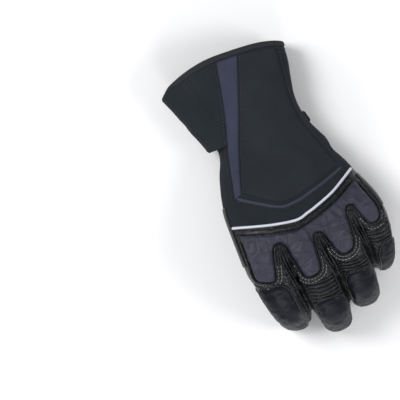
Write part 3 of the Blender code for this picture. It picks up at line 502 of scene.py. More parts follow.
# Elastic gathers under the wrist: their height, the distance between them and how far they wander.
GATHER_HEIGHT = 0.0009
GATHER_PITCH = 0.0042
GATHER_WANDER = 2.0
points = corners(shell)
out = normals(shell)
gather = ramp(24 - np.abs(station_of(points) + 2), 0, 10) * ramp(-out[:, 2], 0.2, 0.7)
wander = np.array([noise.noise(Vector(p) / 0.03) for p in points])
lift = GATHER_HEIGHT * np.sin(points[:, 1] / GATHER_PITCH * math.pi + GATHER_WANDER * wander) * gather
points = points + out * lift[:, None]
points[:, 2] = np.maximum(points[:, 2], 0.0)
move(shell, points)
apply(shell, "SMOOTH", factor=0.3, iterations=1)

shell_tree = BVHTree.FromObject(shell, bpy.context.evaluated_depsgraph_get())
outer_count = len(shell.data.vertices)
apply(shell, "SOLIDIFY", thickness=WALL, offset=-1, use_even_offset=False, use_quality_normals=True)


def cloud(wire, place, size, detail=2.0, rough=0.5, turn=0.0):
    """Soft noise from 0 to 1 with blobs of that size in metres."""
    return wire.node("ShaderNodeTexNoise", {"noise_dimensions": "3D"},
                     {"Vector": place, "Scale": 1 / size, "Detail": detail, "Roughness": rough,
                      "Distortion": turn})


# charcoal softshell: a smooth matt weave with a little slub
softshell, wire, sockets, place = finish("charcoal_softshell", 0.85, Specular_IOR_Level=0.12)
slub = cloud(wire, place, 0.0011, 3, 0.6)
patchy = cloud(wire, place, 0.03, 2)
feed(wire, sockets, (slub * 0.7 + patchy * 0.5 - 0.1).clamped().tint((0.006, 0.008, 0.010), (0.026, 0.032, 0.039)),
     0.72 + 0.2 * slub, ((slub, 0.00030), (patchy, 0.0006)))


def leather(name, dark, light, gloss, grain, depth, wrinkle=0.0, mirror=0.3):
    """Grained leather: pebbles parted by fine creases, darker in the creases as painted shade, glossier on top."""
    made, wire, sockets, place = finish(name, gloss, Specular_IOR_Level=mirror)
    pebble = wire.node("ShaderNodeTexVoronoi", {"feature": "SMOOTH_F1"},
                       {"Vector": place, "Scale": 1 / grain, "Smoothness": 0.35, "Randomness": 0.95})
    crease = cloud(wire, place, grain * 3.5, 4, 0.62, 0.8)
    patchy = cloud(wire, place, 0.022, 3, 0.55)
    # painted shade: the creases and the pebbles' edges, which the bumps below set low, are tinted darker; patchy is
    # the leather's own uneven tone
    tone = (0.75 * patchy + 0.5 * crease - 0.35 * pebble + 0.05).clamped()
    heights = [(1 - pebble, depth), (crease, depth * 2.2)]
    if wrinkle:
        along = wire.node("ShaderNodeMapping", values={"Vector": place, "Scale": (0.28, 1.0, 1.0)})
        heights.insert(0, (cloud(wire, along, 0.0042, 3, 0.5, 0.6), wrinkle))
    feed(wire, sockets, tone.tint(dark, light), gloss - 0.12 + 0.22 * crease + 0.15 * pebble * patchy, heights)
    return made


def mottled(name, roughness, size, dark, light, detail=2, rough=0.5, depth=0.0, gloss=None, **constants):
    """Finish of one fine noise, which tints it and can raise it by a depth and vary its gloss."""
    made, wire, sockets, place = finish(name, roughness, **constants)
    speckle = cloud(wire, place, size, detail, rough)
    shine = None if gloss is None else gloss[0] + gloss[1] * speckle
    feed(wire, sockets, speckle.tint(dark, light), shine, ((speckle, depth),) if depth else ())
    return made


black_leather = leather("black_leather", (0.002, 0.0026, 0.0033), (0.009, 0.0105, 0.013), 0.30, 0.0011, 0.00018,
                        0.0016)
palm_leather = leather("palm_leather", (0.006, 0.007, 0.008), (0.018, 0.020, 0.023), 0.62, 0.0007, 0.00012)
lining = mottled("fleece_lining", 0.95, 0.0016, (0.010, 0.011, 0.013), (0.045, 0.048, 0.055), 4, 0.7, 0.0009,
                 Specular_IOR_Level=0.1)
for material in (softshell, black_leather, palm_leather, lining):
    shell.data.materials.append(material)

PIPING_LINE = ((48.0, 59.2), (45.0, 60.7), (30.5, 65.8), (16.0, 70.0), (1.5, 72.2), (-7.0, 69.2), (-15.0, 65.6),
               (-27.0, 59.0), (-37.0, 51.0), (-46.0, 43.0), (-49.0, 40.2))
piping_plan = np.array([plan(*p) for p in PIPING_LINE])[::-1]
places = np.array([tuple(face.center) for face in shell.data.polygons])
facing = np.array([tuple(face.normal) for face in shell.data.polygons])
inside = np.array([min(face.vertices) for face in shell.data.polygons]) >= outer_count
station = station_of(places)
stations = np.linspace(-100, 100, 201)
widest = np.array([row_at(BODY, s)[5] for s in stations]) * KNUCKLE_HEIGHT / 100
side_height = np.interp(station, stations, widest) - SIDE_DROP
on_back = places[:, 2] > side_height
cloth = np.where(on_back, places[:, 1] < np.interp(places[:, 0], piping_plan[:, 0], piping_plan[:, 1]), station < 2)
index = np.where(inside, 3, np.where(cloth, 0, np.where(facing[:, 2] < -0.35, 2, 1)))
shell.data.polygons.foreach_set("material_index", index.astype(np.int32))
shell.data.update()
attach(shell, "root")
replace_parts(shell, "gauntlet", "hand_shell", "index_stall", "middle_stall", "ring_stall", "little_stall",
            "thumb_stall")


# Cut pieces.
# The panels of the back are cut from cloth or leather to an outline, laid on the shell and sewn
# down along their edges, so each is full inside and thin where it is sewn.
def drawn(points, step=0.001, smooth=0, closed=False):
    """Even fine path in plan through points given as x share and station."""
    flat = np.array([plan(*p) for p in points])
    if closed:
        flat = np.concatenate((flat, flat[:1]))
    else:
        keyed = [(k, *p) for k, p in enumerate(flat)]
        if len(flat) > 2:
            flat = np.array([row_at(keyed, k)[1:] for k in np.linspace(0, len(flat) - 1, 12 * len(flat))])
    return evened(flat, step, smooth, closed)


def run_along(points):
    """Length along a path at each of its points."""
    return np.concatenate(([0.0], np.cumsum(np.linalg.norm(np.diff(points, axis=0), axis=1))))


def evened(flat, step, smooth=0, closed=False):
    """Path with its points a step apart, rounded by that many passes."""
    run = run_along(flat)
    at = np.linspace(0, run[-1], max(3, int(round(run[-1] / step))) + 1)
    even = np.stack([np.interp(at, run, flat[:, k]) for k in range(flat.shape[1])], axis=1)
    if closed:
        even = even[:-1]
    for _ in range(smooth):
        before, after = np.roll(even, 1, axis=0), np.roll(even, -1, axis=0)
        if not closed:
            before[0], after[-1] = even[0], even[-1]
            before[-1], after[0] = even[-2], even[1]
        eased = (before + 2 * even + after) / 4
        if not closed:
            eased[0], eased[-1] = even[0], even[-1]
        even = eased
    return even


def edge_distance(spots, outline):
    """Distance of each spot to a closed outline."""
    a = outline
    ab = np.roll(outline, -1, axis=0) - a
    best = np.full(len(spots), 1e9)
    for start in range(0, len(spots), 2000):
        p = spots[start:start + 2000, None, :] - a[None]
        t = np.clip((p * ab).sum(axis=2) / (ab * ab).sum(axis=1), 0, 1)
        best[start:start + 2000] = np.linalg.norm(p - ab * t[..., None], axis=2).min(axis=1)
    return best


def within(spots, outline):
    """Which spots lie inside a closed outline."""
    a, b = outline, np.roll(outline, -1, axis=0)
    x, y = spots[:, 0:1], spots[:, 1:2]
    crosses = ((a[:, 1] > y) != (b[:, 1] > y)) & (
        x < (b[:, 0] - a[:, 0]) * (y - a[:, 1]) / np.where(b[:, 1] == a[:, 1], 1e-12, b[:, 1] - a[:, 1]) + a[:, 0])
    return crosses.sum(axis=1) % 2 == 1


def cut_flat(outline, step):
    """Spots in plan and triangles of a flat piece cut to an outline."""
    low, high = outline.min(axis=0), outline.max(axis=0)
    rows = np.arange(low[1], high[1], step * 0.866)
    spots = np.array([(x + (k % 2) * step / 2, y) for k, y in enumerate(rows)
                      for x in np.arange(low[0], high[0], step)])
    spots = spots[within(spots, outline)]
    spots = spots[edge_distance(spots, outline) > 0.55 * step]
    everything = np.concatenate((outline, spots)) * 1000
    ring = list(range(len(outline)))
    corners_out, _, triangles, *_ = delaunay_2d_cdt([Vector(p) for p in everything], [], [ring], 1, 1e-6)
    return np.array([tuple(c) for c in corners_out]) / 1000, [tuple(t) for t in triangles]


DOWN = Vector((0, 0, -1))


def shell_height(x, y):
    found = shell_tree.ray_cast(Vector((x, y, 0.3)), DOWN)[0]
    return None if found is None else found.z


def laid_height(x, y, sag, span=0.009):
    """Height of the shell, or of the bridge over the valley between two fingers less a sag."""
    own = shell_height(x, y)
    left, right = shell_height(x - span / 2, y), shell_height(x + span / 2, y)
    if left is None or right is None:
        return own if own is not None else 0.0
    bridge = min(left, right) - sag
    return bridge if own is None else max(own, bridge)


def face_normals(points, triangles):
    """Outward direction at each point of a triangle mesh."""
    a, b, c = (points[triangles[:, k]] for k in range(3))
    cross = np.cross(b - a, c - a)
    total = np.zeros_like(points)
    for k in range(3):
        np.add.at(total, triangles[:, k], cross)
    total[total[:, 2] < 0] *= -1
    return total / np.maximum(np.linalg.norm(total, axis=1), 1e-12)[:, None]


def outwards(item):
    """Turns all the faces of a closed piece outwards."""
    only(item)
    bpy.ops.object.mode_set(mode="EDIT")
    bpy.ops.mesh.select_all(action="SELECT")
    bpy.ops.mesh.normals_make_consistent(inside=False)
    bpy.ops.object.mode_set(mode="OBJECT")


SINK = 0.0006


def cut_piece(name, outline, step, profile, material, sag=0.0012, ease=3, pucker=0.0):
    """Piece cut to an outline, laid on the shell; profile gives its fullness at an inset."""
    flat, triangles = cut_flat(outline, step)
    faces = np.array(triangles)
    z = np.array([laid_height(x, y, sag) for x, y in flat])
    own = z.copy()
    links = np.concatenate((faces[:, (0, 1)], faces[:, (1, 2)], faces[:, (2, 0)]))
    for _ in range(ease):
        total = np.zeros(len(z))
        number = np.zeros(len(z))
        for a, b in ((0, 1), (1, 0)):
            np.add.at(total, links[:, a], z[links[:, b]])
            np.add.at(number, links[:, a], 1)
        z = np.maximum((z + total / np.maximum(number, 1)) / 2, own - 0.0002)
    base = np.column_stack((flat, z))
    up = face_normals(base, faces)
    inset = edge_distance(flat, outline)
    full = profile(inset)
    if pucker:
        full = full + np.array([pucker * (noise.noise(Vector(p) / 0.0028) * math.exp(-d / 0.004)
                                          + 0.8 * noise.noise(Vector(p) / 0.0075)) * min(1.0, d / 0.001)
                                for p, d in zip(base, inset)])
    top = base + up * full[:, None]
    bottom = base - up * SINK
    sides = dict.fromkeys(pair for a, b, c in triangles for pair in ((a, b), (b, c), (c, a)))
    total = len(base)
    solid = [tuple(f) for f in triangles] + [(c + total, b + total, a + total) for a, b, c in triangles]
    solid += [(b, a, a + total, b + total) for a, b in sides if (b, a) not in sides]
    made = mesh_piece(name, np.concatenate((top, bottom)), solid, material)
    outwards(made)
    layer = made.data.uv_layers.new(name="cut")
    corner = np.empty(len(made.data.loops), dtype=np.int32)
    made.data.loops.foreach_get("vertex_index", corner)
    layer.data.foreach_set("uv", flat[corner % total].ravel())
    rim = made.data.attributes.new("inset", "FLOAT", "POINT")
    rim.data.foreach_set("value", np.concatenate((inset, np.zeros(total))))
    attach(made, "root")
    return made, inset


def rounded(edge, crown, run):
    """Fullness that rises from the sewn edge to a crown over a run."""
    return lambda d: edge + (crown - edge) * np.sqrt(1 - (1 - np.clip(d / run, 0, 1)) ** 2)


def evened_ways(ways):
    """Directions along a path, each brought towards its neighbours."""
    for _ in range(3):
        ways[1:-1] = ways[:-2] + 2 * ways[1:-1] + ways[2:]
        ways /= np.linalg.norm(ways, axis=1)[:, None]
    return ways


def on_shell(path, sag=0.0012, lift=0.0):
    """Points on the shell along a path in plan, and the way out of it there."""
    points = np.array([(x, y, laid_height(x, y, sag)) for x, y in path])
    for _ in range(2):
        points[1:-1, 2] = np.maximum((points[:-2, 2] + 2 * points[1:-1, 2] + points[2:, 2]) / 4,
                                     points[1:-1, 2] - 0.0004)
    ways = []
    for x, y, z in points:
        near = shell_tree.find_nearest(Vector((x, y, z)))[1]
        ways.append(tuple(near if near.z > 0 else -near))
    ways = evened_ways(np.array(ways))
    good = ways[:, 2] > 0.3
    good[1:] &= np.abs(np.diff(points[:, 2])) < 0.002
    best = (0, 0)
    start = 0
    for k in range(len(points) + 1):
        if k == len(points) or not good[k]:
            if k - start > best[1] - best[0]:
                best = (start, k)
            start = k + 1
    return points[best[0]:best[1]] + ways[best[0]:best[1]] * lift, ways[best[0]:best[1]]


def weave(name, dark, light, pitch, rough=0.8):
    """Woven cloth on a piece's own cut: fine twill lines, crossed threads and slubs."""
    made, wire, sockets, place = finish(name, rough, Specular_IOR_Level=0.15)
    cut = wire.node("ShaderNodeUVMap", {"uv_map": "cut"})
    parts = wire.node("ShaderNodeSeparateXYZ", values={"Vector": cut})
    across = Wire(wire.tree, parts.socket.node.outputs[0])
    along = Wire(wire.tree, parts.socket.node.outputs[1])
    turn = 2 * math.pi / pitch
    warp = (across * turn).sine()
    weft = (along * turn).sine()
    twill = ((across + along) * (turn * 0.5)).sine()
    thread = 0.5 + 0.25 * warp * weft + 0.25 * twill
    slub = cloud(wire, place, 0.0016, 3, 0.6)
    patchy = cloud(wire, place, 0.028, 2)
    tone = (0.35 * thread + 0.4 * slub + 0.5 * patchy - 0.12).clamped()
    feed(wire, sockets, tone.tint(dark, light), rough - 0.1 + 0.25 * slub, ((thread, 0.00012), (slub, 0.0002)))
    return made


BINDING_DEPTH = 0.0054


def rim_spot(x):
    """Place on the line where the rim's binding ends."""
    _, little, thumb = row_at(BODY, -95)[:3]
    share = (2 * x - little - thumb) / (thumb - little)
    sweep = share * share if share > 0 else RIM_LITTLE_SHARE * share**4
    return x, -100 + 100 * (RIM_SWEEP * sweep + BINDING_DEPTH) / CUFF_LENGTH


def joined(*paths):
    """Closed outline made of paths end to end."""
    return evened(np.concatenate(paths), 0.001, 2, True)


def declare_cloth(item):
    """Takes a laid panel's points in plan about their middle and half the area of its faces; it keeps and returns
    nothing.
    """
    spots = corners(item)[:, :2]
    spots = spots - spots.mean(0)
    area = sum(face.area for face in item.data.polygons) / 2


stripe_cloth = weave("navy_softshell", (0.018, 0.022, 0.038), (0.056, 0.064, 0.106), 0.0009)
panel_cloth = weave("back_softshell", (0.007, 0.009, 0.011), (0.028, 0.034, 0.041), 0.0009)
rim_edge = drawn([rim_spot(x) for x in np.linspace(2.6, -23, 9)])
panel_thumb = drawn((rim_spot(2.6), (14.2, -42), (22.2, -7.5), (31.0, 33)))
panel_lower = drawn(((31.0, 33), (19.0, 44.5), (7.0, 52.5), (-4.5, 51.5), (-14, 48), (-24, 44), (-37.5, 37)))
panel_little = drawn((rim_spot(-23), (-21.5, -60), (-20.5, -38), (-23.5, -12), (-31, 15), (-37.5, 37)))
panel_outline = joined(panel_thumb, panel_lower, panel_little[::-1], rim_edge[::-1])
back_panel, _ = cut_piece("back_panel", panel_outline, 0.0016, rounded(0.0001, 0.0009, 0.002), panel_cloth)
declare_cloth(back_panel)
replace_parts(back_panel, "cuff_back_panel")
stripe_little = drawn((rim_spot(3.4), (15.0, -42), (23.0, -7.5), (31.6, 34)))
stripe_thumb = drawn((rim_spot(18.5), (24.6, -42), (30.6, -7.5), (36.8, 37)))
stripe_rim = drawn([rim_spot(x) for x in np.linspace(3.4, 18.5, 7)])
stripe, _ = cut_piece("cuff_band", joined(stripe_rim, stripe_thumb, stripe_little[::-1]), 0.0012,
                      rounded(0.0001, 0.0011, 0.0018), stripe_cloth, pucker=0.0006)
declare_cloth(stripe)
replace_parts(stripe, "cuff_stripe")


# Knuckle pad.
# Foam-filled navy leather over the knuckles, with a lobe on each finger and slots between them.
# Its edge is turned under and sewn down, so it swells from a deep seam.
PAD_CROWN = 0.0036
PAD_RUN = 0.0042
SEWN_EDGE = 0.0012
PRESSURE = 4.0
LAST_FRAME = 20
PAD_EDGE = (
    (-44.6, 54.6), (-29.8, 66.4), (-15.3, 74.4), (4.2, 81.8), (21.4, 77.4), (41.8, 69.4),
    (41.5, 90.8), (41.3, 112.0), (39.8, 117.8), (36.0, 120.8), (31.0, 123.5), (28.4, 121.5), (26.6, 108.0),
    (25.4, 97.0), (24.2, 90.8), (21.6, 86.6), (16.4, 86.8), (13.6, 93.0), (12.8, 101.0), (11.2, 109.0),
    (9.6, 122.0), (8.4, 128.5), (5.5, 131.2), (0.5, 130.0), (-2.2, 127.5), (-3.3, 121.0), (-3.8, 108.0),
    (-4.2, 99.0), (-4.4, 93.0), (-6.6, 87.6), (-11.2, 88.0), (-13.2, 93.0), (-15.6, 102.0), (-18.0, 113.0),
    (-20.2, 118.0), (-23.5, 118.6), (-27.2, 116.5), (-29.2, 113.0), (-30.3, 105.0), (-30.8, 92.0), (-31.3, 79.6),
    (-33.2, 74.2), (-37.6, 74.2), (-39.3, 79.6), (-41.6, 88.0), (-44.0, 94.5), (-46.5, 96.8), (-50.0, 96.2),
    (-52.6, 92.5), (-53.0, 86.0), (-52.2, 80.0),
)
pad_outline = drawn(PAD_EDGE, 0.001, 2, True)


def stuffed(item, sewn, hold, furthest, spare=0.06):
    """Swells a closed piece with cloth simulation, its sewn points fixed and the rest held softly."""
    before = corners(item).copy()
    group = item.vertex_groups.new(name="sewn")
    group.add([int(k) for k in np.nonzero(sewn)[0]], 1.0, "REPLACE")
    group.add([int(k) for k in np.nonzero(~sewn)[0]], hold, "REPLACE")
    cloth = item.modifiers.new("stuffing", "CLOTH")
    cloth.settings.vertex_group_mass = "sewn"
    cloth.settings.use_pressure = True
    cloth.settings.uniform_pressure_force = PRESSURE
    cloth.settings.shrink_min = -spare
    cloth.settings.effector_weights.gravity = 0
    cloth.point_cache.frame_start, cloth.point_cache.frame_end = 1, LAST_FRAME
    for frame_number in range(1, LAST_FRAME + 1):
        bpy.context.scene.frame_set(frame_number)
    only(item)
    bpy.ops.object.modifier_apply(modifier=cloth.name)
    bpy.context.scene.frame_set(1)
    step = corners(item) - before
    size = np.linalg.norm(step, axis=1)
    move(item, before + step * np.minimum(1.0, furthest / np.maximum(size, 1e-9))[:, None])
    item.vertex_groups.clear()


navy_leather = leather("navy_leather", (0.008, 0.009, 0.018), (0.048, 0.050, 0.076), 0.52, 0.0010, 0.00010)
pad, pad_inset = cut_piece("knuckle_padding", pad_outline, 0.0011, rounded(0.0, PAD_CROWN, PAD_RUN), navy_leather,
                           sag=0.0005, ease=8, pucker=0.0005)
stuffed(pad, np.concatenate((pad_inset < SEWN_EDGE, np.ones(len(pad_inset), dtype=bool))), 0.12, 0.0016)
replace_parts(pad, "knuckle_pad")


# Piping, trims and welts.
# Round and flat cords laid in the seams: the bright reflective piping, the navy trim under the back
# panel, the dark band behind the pad and the rolled leather welts round its lobes.
def ring_shut(rows, count):
    """Quads that join the last ring of a tube to its first."""
    last = (rows - 1) * count
    return [(last + k, last + (k + 1) % count, (k + 1) % count, k) for k in range(count)]


def roll(name, points, ways, half_wide, high, material, sides=10, closed=False, taper=0.004):
    """Rolled cord along points, its width across and its height out of the shell."""
    count = len(points)
    if closed:
        run = np.roll(points, -1, axis=0) - np.roll(points, 1, axis=0)
    else:
        run = np.gradient(points, axis=0)
    run /= np.linalg.norm(run, axis=1)[:, None]
    side = np.cross(run, ways)
    side /= np.linalg.norm(side, axis=1)[:, None]
    up = np.cross(side, run)
    size = np.ones(count)
    if not closed and taper:
        length = run_along(points)
        size = np.sqrt(np.clip(np.minimum(length, length[-1] - length) / taper, 0.04, 1))
    angle = circle(sides)
    rings = [points[k] + size[k] * (half_wide * np.cos(angle)[:, None] * side[k]
                                    + high * np.sin(angle)[:, None] * up[k]) for k in range(count)]
    if closed:
        solid, faces = np.concatenate(rings), tube_faces(count, sides) + ring_shut(count, sides)
    else:
        solid, faces = filled(rings)
    made = mesh_piece(name, solid, faces, material)
    outwards(made)
    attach(made, "root")
    return made


reflective, wire, sockets, place = finish("reflective_piping", 0.32, Specular_IOR_Level=0.6)
bead = wire.node("ShaderNodeTexVoronoi", {"feature": "F1"}, {"Vector": place, "Scale": 1 / 0.0005})
worn = cloud(wire, place, 0.004, 3, 0.6)
feed(wire, sockets, (0.6 * worn + 0.4 * bead).clamped().tint((0.50, 0.52, 0.60), (0.70, 0.72, 0.80)),
     0.25 + 0.3 * bead, ((1 - bead, 0.00006),))
piping_path = drawn(PIPING_LINE[1:-1])
points, ways = on_shell(piping_path, lift=0.0009)
piping = roll("seam_piping", points, ways, 0.00125, 0.00125, reflective, 12, taper=0.001)
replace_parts(piping, "piping")

trim_cloth = mottled("trim_cloth", 0.7, 0.0012, (0.014, 0.016, 0.028), (0.046, 0.049, 0.078), 3, 0.6, 0.0002,
                     (0.55, 0.3), Specular_IOR_Level=0.3)
trim_path = drawn(((34.9, 35.0), (33.6, 38.2), (20.5, 48.6), (8.0, 56.5), (-4.6, 55.4), (-14.0, 51.8), (-24.5, 47.4),
                   (-39.5, 39.8)))
points, ways = on_shell(trim_path, lift=0.0002)
trim = roll("panel_edging", points, ways, 0.0016, 0.0009, trim_cloth, 10)
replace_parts(trim, "panel_trim")

band_path = drawn(((44.0, 65.8), (30.5, 71.0), (16.5, 75.4), (1.5, 77.6), (-8.5, 74.2), (-17.0, 70.3),
                   (-29.0, 63.5), (-38.5, 56.0), (-46.5, 49.0)))
points, ways = on_shell(band_path, lift=0.0001)
band = roll("leather_band", points, ways, 0.0024, 0.0010, black_leather, 14)
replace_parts(band, "seam_band")


def beside(outline, distance):
    """Closed outline moved outwards by a distance, and which of its points are clear of loops."""
    area = 0.5 * (outline[:, 0] * np.roll(outline[:, 1], -1) - np.roll(outline[:, 0], -1) * outline[:, 1]).sum()
    run = np.roll(outline, -1, axis=0) - np.roll(outline, 1, axis=0)
    side = np.stack((run[:, 1], -run[:, 0]), axis=1) / np.linalg.norm(run, axis=1)[:, None]
    moved = outline + side * distance * math.copysign(1, area)
    keep = edge_distance(moved, outline) > distance * 0.97
    return moved, keep


def stretches(moved, keep):
    """Open paths of the kept points of a closed outline."""
    start = int(np.argmin(keep))
    order = np.roll(np.arange(len(moved)), -start)
    paths, current = [], []
    for k in order:
        if keep[k]:
            current.append(moved[k])
        elif current:
            paths.append(np.array(current))
            current = []
    if current:
        paths.append(np.array(current))
    return [path for path in paths if len(path) > 8]


# the lobed side of the pad runs from its thumb corner round the lobes to its little corner
band_side = np.array([plan(*spot) for spot in PAD_EDGE[:6]])
lobed = pad_outline[:, 1] >= np.interp(pad_outline[:, 0], band_side[:, 0], band_side[:, 1]) + 0.0035
# distance from the pad, half width and height of each welt
LOBE_WELTS = ((0.0017, 0.0011, 0.0012), (0.0044, 0.0009, 0.0009))
for number, (distance, wide, high) in enumerate(LOBE_WELTS):
    moved, keep = beside(pad_outline, distance)
    for piece, path in enumerate(stretches(moved, keep & lobed)):
        points, ways = on_shell(evened(path, 0.001, 3), sag=0.0006, lift=0.0003)
        roll(f"lobe_welt_{number + 1}_{piece + 1}", points, ways, wide, high, black_leather)


def sideways(line):
    """Direction across a path in plan at each of its points."""
    run = np.gradient(line, axis=0)
    return np.stack((run[:, 1], -run[:, 0]), axis=1) / np.linalg.norm(run, axis=1)[:, None]


SLOT_WIDTH = 0.0105
SLOTS = (
    ((18.9, 92.0), (18.7, 102.0), (17.8, 114.0), (16.2, 128.0), (14.8, 141.0)),
    ((-8.6, 94.0), (-8.4, 104.0), (-9.6, 116.0), (-11.6, 129.0), (-13.0, 141.0)),
    ((-35.5, 79.5), (-35.8, 88.0), (-36.9, 98.0), (-38.3, 109.0), (-39.4, 119.0)),
)
for number, line in enumerate(SLOTS):
    path = drawn(line)
    side = sideways(path)
    width = np.interp(np.linspace(0, 1, len(path)), np.linspace(0, 1, 5), (0.66, 0.90, 1.0, 0.80, 0.5)) * SLOT_WIDTH
    rolls = []
    for share in (-0.30, 0.0, 0.30):
        points, ways = on_shell(path + side * (width * share)[:, None], sag=0.0012, lift=0.0002)
        rolls.append(roll("slot_fold", points, ways, 0.0013, 0.0012, black_leather))
    bpy.ops.object.select_all(action="DESELECT")
    for item in rolls:
        item.select_set(True)
    bpy.context.view_layer.objects.active = rolls[0]
    bpy.ops.object.join()
    rolls[0].name = f"slot_folds_{number + 1}"
    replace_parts(rolls[0], f"gusset_{number + 1}")


# Fingertips.
# Domed caps of navy leather that wrap three fingertips, and one long smooth panel on the index
# finger. Each is sewn on over a rolled edge.
def tip_cap(name, finger, start, dome_turn, middle, half, crown, run_in, square, material):
    """Padded patch on a finger, from a station on its back round its tip, about a middle angle."""
    little, thumb, reach, back, palm, lean, bend = FINGERS[finger]
    radius = 0.94 * (back - palm) * KNUCKLE_HEIGHT / 200 * CURL[-1][2]
    run = reach - radius
    shares = np.linspace(0, 1, 80)
    backs = np.array([finger_section(finger, t, np.array((math.radians(middle),)))[0] for t in shares])
    first = float(np.interp(plan(0, start)[1], backs[:, 1], shares)) * run
    last = run + radius * dome_turn
    rings, count = 16, 72
    angle = circle(count)
    u, v = power(np.cos(angle), 2 / square), power(np.sin(angle), 2 / square)
    points, ways, insets = [], [], []
    for ring in range(rings + 1):
        r = 1 - (ring / rings) ** 1.3
        for k in range(count if ring < rings else 1):
            along = (first + last) / 2 + (last - first) / 2 * v[k] * r
            turn = math.radians(middle + half * u[k] * r)
            dome = math.sin(min(1.45, max(0.0, (along - run) / radius)))
            spot = finger_section(finger, min(1.0, along / run), np.array((turn,)), dome=dome)[0]
            found, way = shell_tree.find_nearest(Vector(spot))[:2]
            points.append(tuple(found))
            ways.append(tuple(way))
            insets.append((1 - r) * (last - first) / 2)
    points, ways, insets = np.array(points), np.array(ways), np.array(insets)
    faces = tube_faces(rings, count)
    faces += [((rings - 1) * count + i, (rings - 1) * count + (i + 1) % count, rings * count) for i in range(count)]
    links = np.array([(f[i], f[(i + 1) % len(f)]) for f in faces for i in range(len(f))])
    for value in (points, ways):
        for _ in range(3):
            total, number = value.copy(), np.ones((len(value), 1))
            for i, j in ((0, 1), (1, 0)):
                np.add.at(total, links[:, i], value[links[:, j]])
                np.add.at(number, links[:, i], 1)
            value[count:] = (total / number)[count:]
    ways /= np.linalg.norm(ways, axis=1)[:, None]
    full = crown * np.sqrt(1 - (1 - np.clip(insets / run_in, 0, 1)) ** 2) + 0.0001
    total = len(points)
    solid = np.concatenate((points + ways * full[:, None], points - ways * SINK))
    sides = [(i, (i + 1) % count, (i + 1) % count + total, i + total) for i in range(count)]
    under = [tuple(v + total for v in f[::-1]) for f in faces]
    made = mesh_piece(name, solid, faces + under + [f[::-1] for f in sides], material)
    outwards(made)
    stuffed(made, np.concatenate((insets < 0.0010, np.ones(total, dtype=bool))), 0.3, 0.0012, 0.025)
    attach(made, "root")
    roll(f"{name}_welt", points[:count] + ways[:count] * 0.0005, ways[:count], 0.0011, 0.0013, black_leather, 10,
         closed=True)
    return made


cap_leather = leather("cap_leather", (0.0015, 0.002, 0.0038), (0.008, 0.009, 0.017), 0.36, 0.0010, 0.00010,
                      mirror=0.14)
# finger, first station, reach over the tip, middle angle and half angle, crown, its run, squareness
CAPS = {
    "middle_tip": ("middle_cap", "middle", 160.5, 0.80, 92, 49, 0.0022, 0.005, 3.2),
    "ring_tip": ("ring_cap", "ring", 140.5, 0.80, 94, 50, 0.0022, 0.005, 3.2),
    "little_tip": ("little_cap", "little", 120.0, 0.80, 118, 42, 0.0022, 0.005, 3.2),
    "index_top": ("index_panel", "index", 127.0, 0.85, 66, 50, 0.0015, 0.004, 4.0),
}
for name, (node, *cut) in CAPS.items():
    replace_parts(tip_cap(name, *cut, cap_leather), node)


# Seams and stitches.
# Polyester thread, sewn through in rows: pale and doubled round the lobes of the pad, dark along the
# seams of the cuff, and rolled seams down both sides of every finger.
pale_thread = mottled("pale_thread", 0.6, 0.0005, (0.18, 0.185, 0.19), (0.36, 0.37, 0.38))
dark_thread = mottled("dark_thread", 0.6, 0.0005, (0.010, 0.011, 0.014), (0.032, 0.035, 0.042))


def end_faces(rows, count, first):
    """Flat faces at both ends of a short tube."""
    last = first + (rows - 1) * count
    return [tuple(range(first + count - 1, first - 1, -1)), tuple(range(last, last + count))]


def stitches(name, lines, material, length=0.0020, gap=0.0011, thick=0.00032, lift=0.00015):
    """Rows of short stitches along lines, each given as points and the ways out of the shell."""
    angle = circle(6)
    solid, faces = [], []
    for points, ways in lines:
        run = run_along(points)
        for start in np.arange(gap, run[-1] - length, length + gap):
            a, b = (np.array([np.interp(start + d, run, points[:, k]) for k in range(3)]) for d in (0, length))
            up = np.array([np.interp(start, run, ways[:, k]) for k in range(3)])
            way = (b - a) / max(np.linalg.norm(b - a), 1e-9)
            side = np.cross(way, up)
            side /= max(np.linalg.norm(side), 1e-9)
            up = np.cross(side, way)
            first = len(solid)
            for share, size in ((0, 0.35), (0.2, 1.0), (0.8, 1.0), (1, 0.35)):
                for t in angle:
                    solid.append(a + (b - a) * share + up * (lift + thick * size * math.sin(t))
                                 + side * thick * size * math.cos(t))
            faces += tube_faces(4, 6, first) + end_faces(4, 6, first)
    made = mesh_piece(name, solid, faces, material)
    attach(made, "root")
    return made


# little and thumb side of each lobe's end, and the station where it starts
LOBE_ENDS = ((24.0, 46.0, 106.0), (-5.5, 14.0, 111.0), (-33.0, -13.5, 102.0), (-56.0, -40.0, 86.0))
past_end = np.zeros(len(pad_outline), dtype=bool)
for low_x, high_x, station in LOBE_ENDS:
    low, high = plan(low_x, station), plan(high_x, station)
    past_end |= (pad_outline[:, 0] > low[0]) & (pad_outline[:, 0] < high[0]) & (pad_outline[:, 1] > low[1])
pale_rows, dark_rows = [], []
for distance in (0.0030, 0.0058):
    moved, keep = beside(pad_outline, distance)
    for rows, part in ((pale_rows, past_end), (dark_rows, ~past_end)):
        rows += [on_shell(evened(path, 0.001, 3), sag=0.0006, lift=0.0003)
                 for path in stretches(moved, keep & lobed & part)]
stitches("lobe_stitches", pale_rows, pale_thread, length=0.0024, gap=0.0007)
stitches("slot_stitches", dark_rows, dark_thread)


def snapped(points, lift=0.0):
    """Points brought on to the shell with the ways out of it there."""
    places, ways = [], []
    for point in points:
        found, way = shell_tree.find_nearest(Vector(point))[:2]
        places.append(tuple(found))
        ways.append(tuple(way))
    places, ways = np.array(places), evened_ways(np.array(ways))
    for _ in range(3):
        places[1:-1] = (places[:-2] + 2 * places[1:-1] + places[2:]) / 4
    return places + ways * lift, ways


